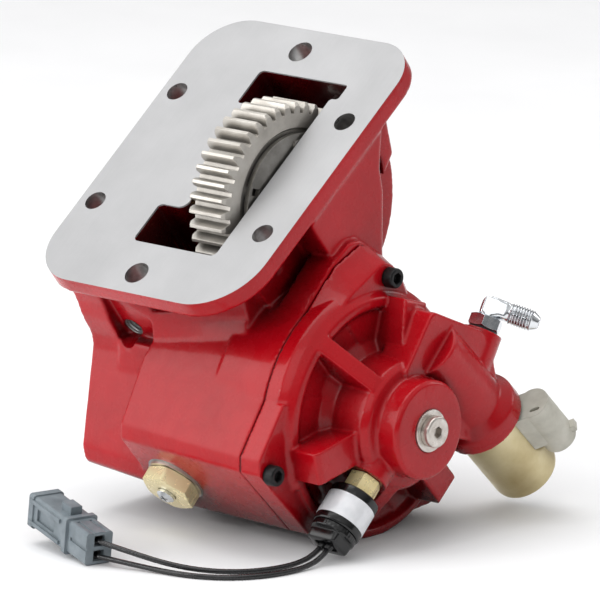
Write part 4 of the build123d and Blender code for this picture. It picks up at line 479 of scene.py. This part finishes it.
def hexagon(origin, axis, apothem, bore, s0, s1, phase, x_dir=(1, 0, 0), low=True, high=True, depth=0.577, n=96):
    """a hexagon with turned corners, and a bore through it"""
    hr = hexr(apothem, phase)
    rc = apothem * 0.965

    def cut(on):
        return (lambda a: max(0.0, hr(a) - rc) * depth) if on else (lambda a: 0.0)
    cl, ch = cut(low), cut(high)
    ringset = [(bore, s0 + 0.35), (bore + 0.35, s0), (rc, s0), (hr, lambda a: s0 + cl(a)), (hr, lambda a: s1 - ch(a)), (rc, s1), (bore + 0.35, s1), (bore, s1 - 0.35)]
    return spun(origin, axis, ringset, n=n, x_dir=x_dir, closed=True)


def thread(origin, axis, s0, s1, root, crest, pitch, inside=False, n=64, x_dir=(1, 0, 0), per=10):
    """a real thread: one helical ridge"""
    x, y, z = frame_of(axis, x_dir)
    o = Vector(origin)
    m = max(2, int((s1 - s0) / pitch * per))
    verts, faces = [], []
    for j in range(m + 1):
        s = s0 + (s1 - s0) * j / m
        fade = max(0.0, min(1.0, (s - s0) / pitch, (s1 - s) / pitch))
        for k in range(n):
            a = 2 * math.pi * k / n
            f = ((s / pitch) - a / (2 * math.pi)) % 1.0
            h = max(0.0, min(1.0, 1.35 * (1 - abs(2 * f - 1)) - 0.15))
            r = root + (crest - root) * h * fade
            verts.append(tuple(o + x * (r * math.cos(a)) + y * (r * math.sin(a)) + z * s))
    for j in range(m):
        for k in range(n):
            q = (k + 1) % n
            f = (j * n + k, j * n + q, (j + 1) * n + q, (j + 1) * n + k)
            faces.append(f[::-1] if inside else f)
    if not inside:
        end = len(verts)
        for s in (s0, s1):
            verts.append(tuple(o + z * s))
        faces += [(end, (k + 1) % n, k) for k in range(n)]
        faces += [(end + 1, m * n + k, m * n + (k + 1) % n) for k in range(n)]
    return verts, faces


def joined(*parts):
    verts, faces = [], []
    for v, f in parts:
        k = len(verts)
        verts += v
        faces += [tuple(i + k for i in face) for face in f]
    return verts, faces


# ---------------------------------------------------------------- the two wires of the switch
WIRE_A = [(0.1020, -0.0355, -0.1669), (0.1016, -0.0425, -0.1718), (0.1002, -0.0540, -0.1743), (0.0975, -0.0680, -0.1746),
          (0.0910, -0.0815, -0.1745), (0.0805, -0.0940, -0.1736), (0.0660, -0.1040, -0.1714), (0.0475, -0.1105, -0.1678),
          (0.0275, -0.1150, -0.1642)]
WIRE_B = [(0.1064, -0.0355, -0.1669), (0.1072, -0.0430, -0.1719), (0.1074, -0.0550, -0.1744), (0.1062, -0.0690, -0.17465),
          (0.1010, -0.0835, -0.17465), (0.0910, -0.0955, -0.17465), (0.0765, -0.1036, -0.1746), (0.0600, -0.1068, -0.1744),
          (0.0435, -0.1102, -0.1734), (0.0275, -0.1149, -0.1718)]


def cord_curve(name, points, node):
    cu = bpy.data.curves.new(name, "CURVE")
    cu.dimensions = "3D"
    cu.resolution_u = 14
    cu.bevel_depth = 0.0013
    cu.bevel_resolution = 5
    cu.use_fill_caps = True
    sp = cu.splines.new("NURBS")
    sp.points.add(len(points) - 1)
    for p, c in zip(sp.points, points):
        p.co = (*c, 1.0)
    sp.order_u = 3
    sp.use_endpoint_u = True
    cu.materials.append(WIRE)
    ob = bpy.data.objects.new(name, cu)
    SCENE.collection.objects.link(ob)
    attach(ob, "housing")
    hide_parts(node)
    return ob


cord_curve("wire_jacket_a", WIRE_A, "switch_wire_a")
cord_curve("wire_jacket_b", WIRE_B, "switch_wire_b")

# ---------------------------------------------------------------- castings


def points_of(me):
    co = np.zeros(len(me.vertices) * 3, np.float64)
    me.vertices.foreach_get("co", co)
    return co.reshape(-1, 3)


def casting(name, node, voxel, rounds, keep, rot=None, most=180000, after=None):
    """the node's own solid with the soft corners and fillets of a casting. keep(points in mm) gives each point's share of the softening, 0 on machined faces"""
    me = NODES[node].data.copy()
    me.materials.clear()
    if rot is not None:
        me.transform(rot)
    tmp = bpy.data.objects.new("tmp", me)
    SCENE.collection.objects.link(tmp)
    w = tmp.modifiers.new("weld", "WELD")
    w.merge_threshold = 2e-6
    r = tmp.modifiers.new("remesh", "REMESH")
    r.mode = "VOXEL"
    r.voxel_size = voxel * 0.001
    r.adaptivity = 0.0
    bpy.context.view_layer.update()
    soft = bpy.data.meshes.new_from_object(tmp.evaluated_get(bpy.context.evaluated_depsgraph_get()))
    bpy.data.objects.remove(tmp)
    if rot is not None:
        soft.transform(rot.inverted())
    co = points_of(soft) * 1000.0
    ed = np.zeros(len(soft.edges) * 2, np.int64)
    soft.edges.foreach_get("vertices", ed)
    ed = ed.reshape(-1, 2)
    e0, e1 = ed[:, 0], ed[:, 1]
    n = len(co)
    deg = np.maximum(1.0, np.bincount(e0, minlength=n) + np.bincount(e1, minlength=n)).astype(float)
    share = keep(co)
    for k in range(rounds):
        avg = np.stack([(np.bincount(e0, weights=co[e1, i], minlength=n) + np.bincount(e1, weights=co[e0, i], minlength=n)) / deg for i in range(3)], 1)
        co += (avg - co) * (0.55 * share)[:, None]
    if after is not None:
        co = after(co)
    soft.vertices.foreach_set("co", (co / 1000.0).ravel())
    soft.update()
    ob = bpy.data.objects.new(name, soft)
    SCENE.collection.objects.link(ob)
    tris = sum(len(p.vertices) - 2 for p in soft.polygons)
    if tris > most:
        d = ob.modifiers.new("decimate", "DECIMATE")
        d.ratio = most / tris
        d.use_collapse_triangulate = True
        bpy.context.view_layer.update()
        fewer = bpy.data.meshes.new_from_object(ob.evaluated_get(bpy.context.evaluated_depsgraph_get()))
        ob.modifiers.clear()
        ob.data = fewer
        bpy.data.meshes.remove(soft)
    me = ob.data
    me.polygons.foreach_set("use_smooth", np.ones(len(me.polygons), bool))
    me.set_sharp_from_angle(angle=math.radians(42))
    print("casting", name, n, "points", tris, "->", len(me.polygons))
    return ob


def step(v, a, b):
    """0 at a, 1 at b, smooth between"""
    t = np.clip((v - a) / (b - a), 0, 1)
    return t * t * (3 - 2 * t)


def from_axis(co, o, d):
    """distance from an axis, and station along it"""
    d = np.array(d, float)
    d /= np.linalg.norm(d)
    rel = co - np.array(o, float)
    s = rel @ d
    return np.linalg.norm(rel - np.outer(s, d), axis=1), s


SIDE_O, SIDE_D = (-25.0, *tn(-76, -42.5)), (0, -CT, -ST)


def housing_share(co):
    x, y, z = co.T
    t, nn = y * CT + z * ST, -y * ST + z * CT
    w = np.ones(len(co))
    w *= step(-nn, 1.2, 4.5)                       # mounting face
    w *= step(73.0 - x, 0.5, 2.6)                  # joint with the cover
    w *= step(x + 50.0, 0.5, 2.5)                  # pump face
    w *= step(z - FLOOR, 0.3, 1.5)                 # underside
    r, s = from_axis(co, DRAIN, DRAIN_N)
    w *= np.where((r < 17.0) & (s > -32), step(r, 15.9, 17.0), 1)
    r, s = from_axis(co, SIDE_O, SIDE_D)
    w *= np.where(r < 7.5, step(r, 6.2, 7.5), 1)
    r, s = from_axis(co, (0, YC, ZC), (1, 0, 0))
    w *= np.where((x < 8) & (r < 45), 0, 1)
    r, s = from_axis(co, (0, YC, ZI), (1, 0, 0))
    w *= np.where(r < 13.5, 0, 1)
    for hx, ht, hr in HOLES:
        r = np.hypot(x - hx, t - ht)
        w *= np.where(nn > -14, step(r, hr + 1.2, hr + 2.6), 1)
    return w


def housing_after(co):
    t, nn = co[:, 1] * CT + co[:, 2] * ST, -co[:, 1] * ST + co[:, 2] * CT
    # leave room for the machined skin: the casting stops half a millimetre lower
    drop = np.where(nn > -0.5, nn + 0.5, 0)
    co = co - drop[:, None] * np.array([0, -ST, CT])
    # and for the bolt holes' walls
    for hx, ht, hr in HOLES:
        dx, dt = co[:, 0] - hx, t - ht
        r = np.hypot(dx, dt)
        k = np.where((r < hr + 0.35) & (nn > -13) & (r > 0.5), (hr + 0.35) / np.maximum(r, 1e-6) - 1, 0)
        co = co + np.stack([dx * k, dt * k * CT, dt * k * ST], 1)
    d = np.array(SIDE_D)
    rel = co - np.array(SIDE_O)
    s = rel @ d
    rad = rel - np.outer(s, d)
    r = np.linalg.norm(rad, axis=1)
    k = np.where((r < 5.3) & (r > 0.5) & (np.abs(s) < 21), 5.3 / np.maximum(r, 1e-6) - 1, 0)
    return co + rad * k[:, None]


TURN = Matrix.Rotation(-TILT, 4, "X")
housing = casting("housing_casting", "housing", 0.85, 5, housing_share, rot=TURN, most=185000, after=housing_after)
for m in (RED, RED_SHADED_INSIDE):
    housing.data.materials.append(m)
pc = np.zeros(len(housing.data.polygons) * 3)
housing.data.polygons.foreach_get("center", pc)
pc = pc.reshape(-1, 3) * 1000
pn = np.zeros(len(housing.data.polygons) * 3)
housing.data.polygons.foreach_get("normal", pn)
pn = pn.reshape(-1, 3)
r, s = from_axis(pc, (0, YC, ZI), (1, 0, 0))
# painted shade: the paint inside the opening, the gear's chamber and the clutch's is made a fifth as bright
r2, s2 = from_axis(pc, (0, YC, ZC), (1, 0, 0))
pt, pq = pc[:, 1] * CT + pc[:, 2] * ST, -pc[:, 1] * ST + pc[:, 2] * CT
inside = (pq < -1.0) & (pq > -30) & (pc[:, 0] > -17.3) & (pc[:, 0] < 43.2) & (pt > -56.8) & (pt < 60.2)
inside |= (pc[:, 0] > 6.0) & (pc[:, 0] < 38.1) & (r < 51.7)
inside |= (pc[:, 0] > 6.0) & (pc[:, 0] < 72.5) & (r2 < 50.0) & ((pn[:, 0] > 0.9) | (np.einsum("ij,ij->i", pn[:, 1:], pc[:, 1:] - np.array([YC, ZC])) < 0))
housing.data.polygons.foreach_set("material_index", inside.astype(np.int32))
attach(housing, "housing")
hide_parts("housing")

# the machined skin of the mounting face: the exact outline, opening and bolt holes, with the holes' walls
src = NODES["housing"].data
co = points_of(src) * 1000
nn = -co[:, 1] * ST + co[:, 2] * CT
key, where, verts = {}, {}, []


def skin_vertex(i):
    k = tuple(np.round(co[i], 3))
    if k not in key:
        key[k] = len(verts)
        verts.append(tuple(co[i]))
    return key[k]


faces, use = [], {}
for p in src.polygons:
    if all(abs(nn[i]) < 0.01 for i in p.vertices):
        f = [skin_vertex(i) for i in p.vertices]
        if len(set(f)) == len(f):
            faces.append(tuple(f))
for f in faces:
    for a, b in zip(f, f[1:] + f[:1]):
        use.setdefault(frozenset((a, b)), []).append((a, b))
index = [0] * len(faces)
lower, inner = {}, {}


def lowered(i):
    if i not in lower:
        x, y, z = verts[i]
        t = y * CT + z * ST
        hole = any(math.hypot(x - hx, t - ht) < hr + 0.6 for hx, ht, hr in HOLES)
        depth = 10.0 if hole else 0.95
        lower[i] = len(verts)
        inner[i] = hole
        verts.append((x, y + depth * ST, z - depth * CT))
    return lower[i]


for e, found in list(use.items()):
    if len(found) == 1:
        a, b = found[0]
        la, lb = lowered(a), lowered(b)
        faces.append((b, a, la, lb))
        x, y, z = verts[a]
        t = y * CT + z * ST
        edge_of_plate = abs(x) > 64 or abs(t) > 80 or (x > 50 and abs(t) > 60) or (x < -50 and abs(t) > 60)
        index.append(2 if inner[a] else (1 if edge_of_plate else 0))
skin = add("mounting_face_skin", verts, faces, [BARE, RED_EDGE, BORE], sharp=25, index=index)


# ---------------------------------------------------------------- cover
def cover_share(co):
    x, y, z = co.T
    w = np.ones(len(co))
    w *= step(x - 73.8, 0.5, 2.8)                  # joint
    r, s = from_axis(co, (0, YC, ZC), (1, 0, 0))
    w *= np.where(r < 26.5, step(124.0 - x, 0.7, 2.6), 1)
    w *= np.where((x > 122.8) & (r < 11.5), 0, 1)
    r, s = from_axis(co, VALVE_O, VALVE_D)
    w *= np.where((r < 22) & (s > -1.2), 0.15, 1)
    w *= np.where((r < 10.5) & (s > -50), 0, 1)
    r, s = from_axis(co, PORT_O, PORT_D)
    w *= np.where((r < 11) & (s > -4), step(-s, 0.5, 2.2), 1)
    w *= np.where((r < 6.5) & (s > -30), 0, 1)
    r, s = from_axis(co, SWITCH_O, SWITCH_D)
    w *= np.where((r < 11.5) & (s > -4), step(-s, 0.5, 2.2), 1)
    w *= np.where((r < 6.0) & (s > -26), 0, 1)
    for sy, sz in SCREWS:
        r = np.hypot(y - sy, z - sz)
        w *= np.where((x > 84.5) & (x < 90), step(r, 6.4, 8.0), 1)
    w *= step(z - FLOOR, 0.3, 1.5)
    return w


cover = casting("cover_casting", "clutch_cover", 0.60, 5, cover_share, most=185000)
for m in (RED, BARE):
    cover.data.materials.append(m)
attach(cover, "housing")
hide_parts("clutch_cover")

# ---------------------------------------------------------------- side port's thread, and the pump holes' threads
tree = BVHTree.FromPolygons([v.co * 1000 for v in src.vertices], [tuple(p.vertices) for p in src.polygons])
sx, sy_, sz_ = frame_of(SIDE_D)
mouth = []
for k in range(12):
    a = 2 * math.pi * k / 12
    p = Vector(SIDE_O) + sx * (5.6 * math.cos(a)) + sy_ * (5.6 * math.sin(a)) + sz_ * 40
    hit = tree.ray_cast(p, -sz_)
    if hit[0] is not None:
        mouth.append((hit[0] - Vector(SIDE_O)).dot(sz_))
mouth_s = min(mouth) if mouth else 8.0
v, f = thread(SIDE_O, SIDE_D, mouth_s - 12.0, mouth_s - 0.6, 5.25, 4.45, 1.5, inside=True)
add("side_port_thread", v, f, BORE, sharp=60)
pump = []
for k in range(2):
    a = math.radians(20 + 180 * k)
    pump.append(thread((-50, YC + 53.2 * math.cos(a), ZC + 53.2 * math.sin(a)), (1, 0, 0), 0.6, 22.0, 4.3, 3.75, 1.5, inside=True))
v, f = joined(*pump)
add("pump_hole_threads", v, f, BORE, sharp=60)

# ---------------------------------------------------------------- cover screws: knurled heads with hexagon sockets
parts = []
for sy, sz in SCREWS:
    o = (86.0, sy, sz)
    knurl = lambda a: 5.0 - 0.09 * (1 - abs(math.sin(a * 24)))
    profile = [(2.9, -31.0), (2.9, 0.02), (4.7, 0.02), (knurl, 0.35), (knurl, 4.9), (4.86, 5.15), (4.75, 5.6), (4.35, 5.95), (4.1, 6.0),
               (3.3, 6.0), (hexr(2.62, 0.3), 5.88), (hexr(2.5, 0.3), 5.7), (hexr(2.5, 0.3), 2.9), (1.2, 2.5)]
    parts.append(spun(o, (1, 0, 0), profile, n=144, cap_start=True, cap_end=True))
v, f = joined(*parts)
screws = add("cover_socket_screws", v, f, OXIDE, sharp=35)
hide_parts("cover_screws")

# end plug and its washer
profile = eased([(5.1, 0.0), (10.5, 0.0), (10.5, 1.4), (5.1, 1.4)], 0.3)
v, f = spun((123.4, YC, ZC), (1, 0, 0), profile, n=128)
w = add("end_plug_seat_washer", v, f, STAINLESS, sharp=35)
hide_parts("end_plug_washer")
ph = 0.35
profile = [(4.9, 0.0), (4.9, 9.8), (7.2, 9.8), (7.65, 9.95), (7.8, 10.3), (7.8, 13.3), (7.7, 13.75), (7.4, 14.15), (6.95, 14.38), (6.5, 14.4), (5.0, 14.4), (3.6, 14.4),
           (hexr(2.75, ph), 14.3), (hexr(2.52, ph), 14.1), (hexr(2.5, ph), 10.6), (1.3, 10.2)]
v, f = spun((115.0, YC, ZC), (1, 0, 0), profile, n=144, cap_start=True, cap_end=True)
plug = add("end_socket_plug", v, f, STAINLESS, sharp=35)
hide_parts("end_plug")

# ---------------------------------------------------------------- drain plug
ph = phase_of("drain_plug", DRAIN, DRAIN_N)
body = hexagon(DRAIN, DRAIN_N, 14.3 * math.cos(math.pi / 6), 4.9, 1.65, 9.65, ph, depth=0.28)
seat = spun(DRAIN, DRAIN_N, [(4.9, 9.3), (4.9, 8.65), (2.05, 8.65), (2.05, 5.0)], n=96, cap_end=True)
stud = spun(DRAIN, DRAIN_N, [(7.2, -12.0), (7.9, -11.2), (7.9, 1.7)], n=64, cap_start=True)
v, f = joined(body, seat, stud)
d = add("drain_hex_plug", v, f, GOLD_ZINC, sharp=25)
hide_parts("drain_plug")

# ---------------------------------------------------------------- switch, its adapter and boot
ph = phase_of("switch_adapter", SWITCH_O, SWITCH_D)
v, f = joined(hexagon(SWITCH_O, SWITCH_D, 7.4, 3.0, 0.15, 10.05, ph, depth=0.3), thread(SWITCH_O, SWITCH_D, -6.5, 0.2, 4.3, 4.75, 1.0))
ad = add("switch_hex_adapter", v, f, BRASS, sharp=25)
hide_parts("switch_adapter")

profile = [(0.5, 10.1)] + eased([(3.0, 10.1), (11.4, 10.1), (12.5, 10.9), (12.5, 14.7), (12.15, 15.0), (12.15, 27.2), (12.3, 27.5), (12.3, 30.2), (11.9, 31.0), (3.0, 31.0)], 0.45) + [(0.5, 31.0)]
v, f = spun(SWITCH_O, SWITCH_D, profile, n=128, cap_start=True, cap_end=True)
sw = add("switch_body", v, f, BLACK, sharp=40)
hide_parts("pressure_switch")

ridge = lambda a: 11.5 - 0.2 * max(0.0, math.cos(a * 36))


def squared(hx, hy, power=7.0):
    """a rounded rectangle as a radius by angle"""
    return lambda a: (abs(math.cos(a) / hx) ** power + abs(math.sin(a) / hy) ** power) ** (-1 / power)


profile = [(0.5, 31.05), (11.1, 31.05), (11.5, 31.4), (ridge, 31.8), (ridge, 33.6), (11.5, 34.0), (11.2, 34.4), (squared(9.4, 8.0), 34.7), (squared(9.1, 7.7), 35.0),
           (squared(8.9, 7.4), 39.0), (squared(8.6, 7.1), 39.7), (squared(8.1, 6.6), 40.0), (squared(5.6, 4.4), 40.0), (squared(5.2, 4.0), 39.6), (squared(5.0, 3.8), 38.8), (0.5, 38.8)]
v, f = spun(SWITCH_O, SWITCH_D, profile, n=144, cap_start=True, cap_end=True)
# the two collars that the wires leave by
for wx in (102.0, 106.4):
    c = along((wx, SWITCH_O[1], SWITCH_O[2]), SWITCH_D, 38.0)
    tip = (0, -0.86, -0.51)
    g = spun(c, tip, eased([(2.5, 0.0), (2.4, 1.8), (1.75, 4.4), (1.4, 4.6)], 0.3), n=32, cap_start=True)
    v, f = joined((v, f), g)
bt = add("switch_cap", v, f, BLACK, sharp=40)
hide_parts("switch_boot")

# ---------------------------------------------------------------- elbow, its nut and thread


def elbow_share(co):
    r, s = from_axis(co, ELBOW, ARM)
    w = np.where(s > 9.6, 0.05, 1.0)
    r2, s2 = from_axis(co, PORT_O, PORT_D)
    w *= np.where(s2 < 6.5, 0.05, 1)
    w *= np.where((r < 2.9) & (s > 2), 0, 1)
    return w


def elbow_after(co):
    d = np.array(ARM) / np.linalg.norm(ARM)
    p = np.array(PORT_D) / np.linalg.norm(PORT_D)
    # the outside of the bend is round
    rel = co - np.array(ELBOW)
    u, w = rel @ p, -(rel @ d)
    far = np.hypot(u, w)
    k = np.where((u > 0) & (w > 0) & (far > 4.7), 4.7 / np.maximum(far, 1e-6) - 1, 0)
    co = co + (u * k)[:, None] * p - (w * k)[:, None] * d
    rel = co - np.array(ELBOW)
    s = rel @ d
    rad = rel - np.outer(s, d)
    r = np.linalg.norm(rad, axis=1)
    k = np.where((s > 10.35) & (s < 20.9) & (r > 4.6), 4.6 / np.maximum(r, 1e-6) - 1, 0)
    return co + rad * k[:, None]


elbow = casting("elbow_forging", "elbow_fitting", 0.28, 60, elbow_share, most=60000, after=elbow_after)
elbow.data.materials.append(CHROME)
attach(elbow, "housing")
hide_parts("elbow_fitting")
v, f = thread(ELBOW, ARM, 10.3, 20.95, 4.7, 5.6, 1.4, n=72)
add("elbow_thread", v, f, CHROME, sharp=60)
ph = phase_of("elbow_lock_nut", PORT_O, PORT_D)
v, f = hexagon(PORT_O, PORT_D, 7.5, 5.05, 1.3, 7.5, ph)
nut = add("elbow_hex_nut", v, f, CHROME_EDGE, sharp=25)
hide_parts("elbow_lock_nut")

# ---------------------------------------------------------------- the piston's disc springs, in their rest shape: the real ones flatten as the piston moves, these keep their shape
discs = [spun((0, YC, ZC), (1, 0, 0), eased(p + p[:1], 0.12, 2), n=128, closed=True) for p in
         ([(22.4, 58.2), (22.9, 59.0), (18.9, 60.5), (18.4, 59.7)], [(18.9, 60.6), (18.4, 61.4), (22.4, 62.9), (22.9, 62.1)])]
v, f = joined(*discs)
discs = add("piston_disc_springs", v, f, SPRING, body="output_shaft", sharp=35)
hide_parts("return_springs")
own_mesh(discs)

# ---------------------------------------------------------------- solenoid coil: rolled can with a seam ring at each end
profile = eased([(6.1, 0.3), (13.4, 0.3), (13.4, 5.0), (15.6, 5.0), (15.6, 0.3), (16.7, 0.3), (17.2, 1.0), (17.2, 43.6), (16.9, 45.2), (15.6, 46.0), (13.2, 46.2), (12.6, 45.8), (6.6, 45.8), (6.1, 45.4)], 0.5)
v, f = spun(VALVE_O, VALVE_D, profile, n=144, closed=True)
can = add("solenoid_can", v, f, COIL, sharp=40)
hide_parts("solenoid_coil")

# ---------------------------------------------------------------- floor, world and lights
me = bpy.data.meshes.new("floor")
ring = 96
me.from_pydata([(0, 0, FLOOR / 1000)] + [(14 * math.cos(2 * math.pi * k / ring), 14 * math.sin(2 * math.pi * k / ring), FLOOR / 1000) for k in range(ring)], [],
               [(0, k + 1, (k + 1) % ring + 1) for k in range(ring)])
floor = bpy.data.objects.new("floor", me)
SCENE.collection.objects.link(floor)
fm, nt, b = start("floor_white")
nt.links.new(ramp(nt, noise(nt, coords(nt), 6.0, 3.0), [(0.3, linear(247, 247, 248)), (0.5, linear(249, 249, 250)), (0.7, linear(251, 251, 252))]), b.inputs["Base Color"])
nt.links.new(spread(nt, noise(nt, coords(nt), 40.0), 0.55, 0.65), b.inputs["Roughness"])
b.inputs["Specular IOR Level"].default_value = 0.15
me.materials.append(fm)

world = bpy.data.worlds.new("world")
SCENE.world = world
world.use_nodes = True
bg = world.node_tree.nodes["Background"]
# a pale ceiling over darker walls, as in a studio
wt = world.node_tree
wc = wt.nodes.new("ShaderNodeTexCoord")
wx = wt.nodes.new("ShaderNodeSeparateXYZ")
wt.links.new(wc.outputs["Generated"], wx.inputs[0])
wt.links.new(ramp(wt, wx.outputs["Z"], [(0.0, (0.14, 0.14, 0.14, 1)), (0.22, (0.2, 0.2, 0.2, 1)), (0.6, (0.72, 0.72, 0.72, 1)), (1.0, (0.78, 0.78, 0.78, 1))]), bg.inputs["Color"])
bg.inputs["Strength"].default_value = 1.0

SCENE.view_settings.view_transform = "Standard"

CENTRE = Vector((0.03, 0.0, -0.09))
RIGHT, UP, BACK = (Vector(cam.matrix_world.col[i][:3]) for i in range(3))


def area(name, offset, size, power, colour=(1, 1, 1), size_y=None):
    ld = bpy.data.lights.new(name, "AREA")
    ld.shape = "RECTANGLE"
    ld.size, ld.size_y = size, size_y or size
    ld.energy = power
    ld.color = colour
    ob = bpy.data.objects.new(name, ld)
    SCENE.collection.objects.link(ob)
    ob.location = CENTRE + offset
    ob.rotation_mode = "QUATERNION"
    ob.rotation_quaternion = (-offset).to_track_quat("-Z", "Y")
    return ob


area("top_softbox", Vector((-0.30, -0.05, 1.9)), 1.7, 18.0)
area("key_left", Vector((-0.58, -0.70, 0.34)) * 2.1, 1.8, 23.0, size_y=1.8)
area("front_softbox", Vector((0.474, -0.649, 0.590)) * 2.1, 1.2, 4.5)
area("rim_right", -BACK * 0.7 + RIGHT * 1.7 + Vector((0, 0, 0.9)), 0.8, 4.5)
area("accent", Vector((-0.28, -1.92, 0.80)), 0.15, 3.6)
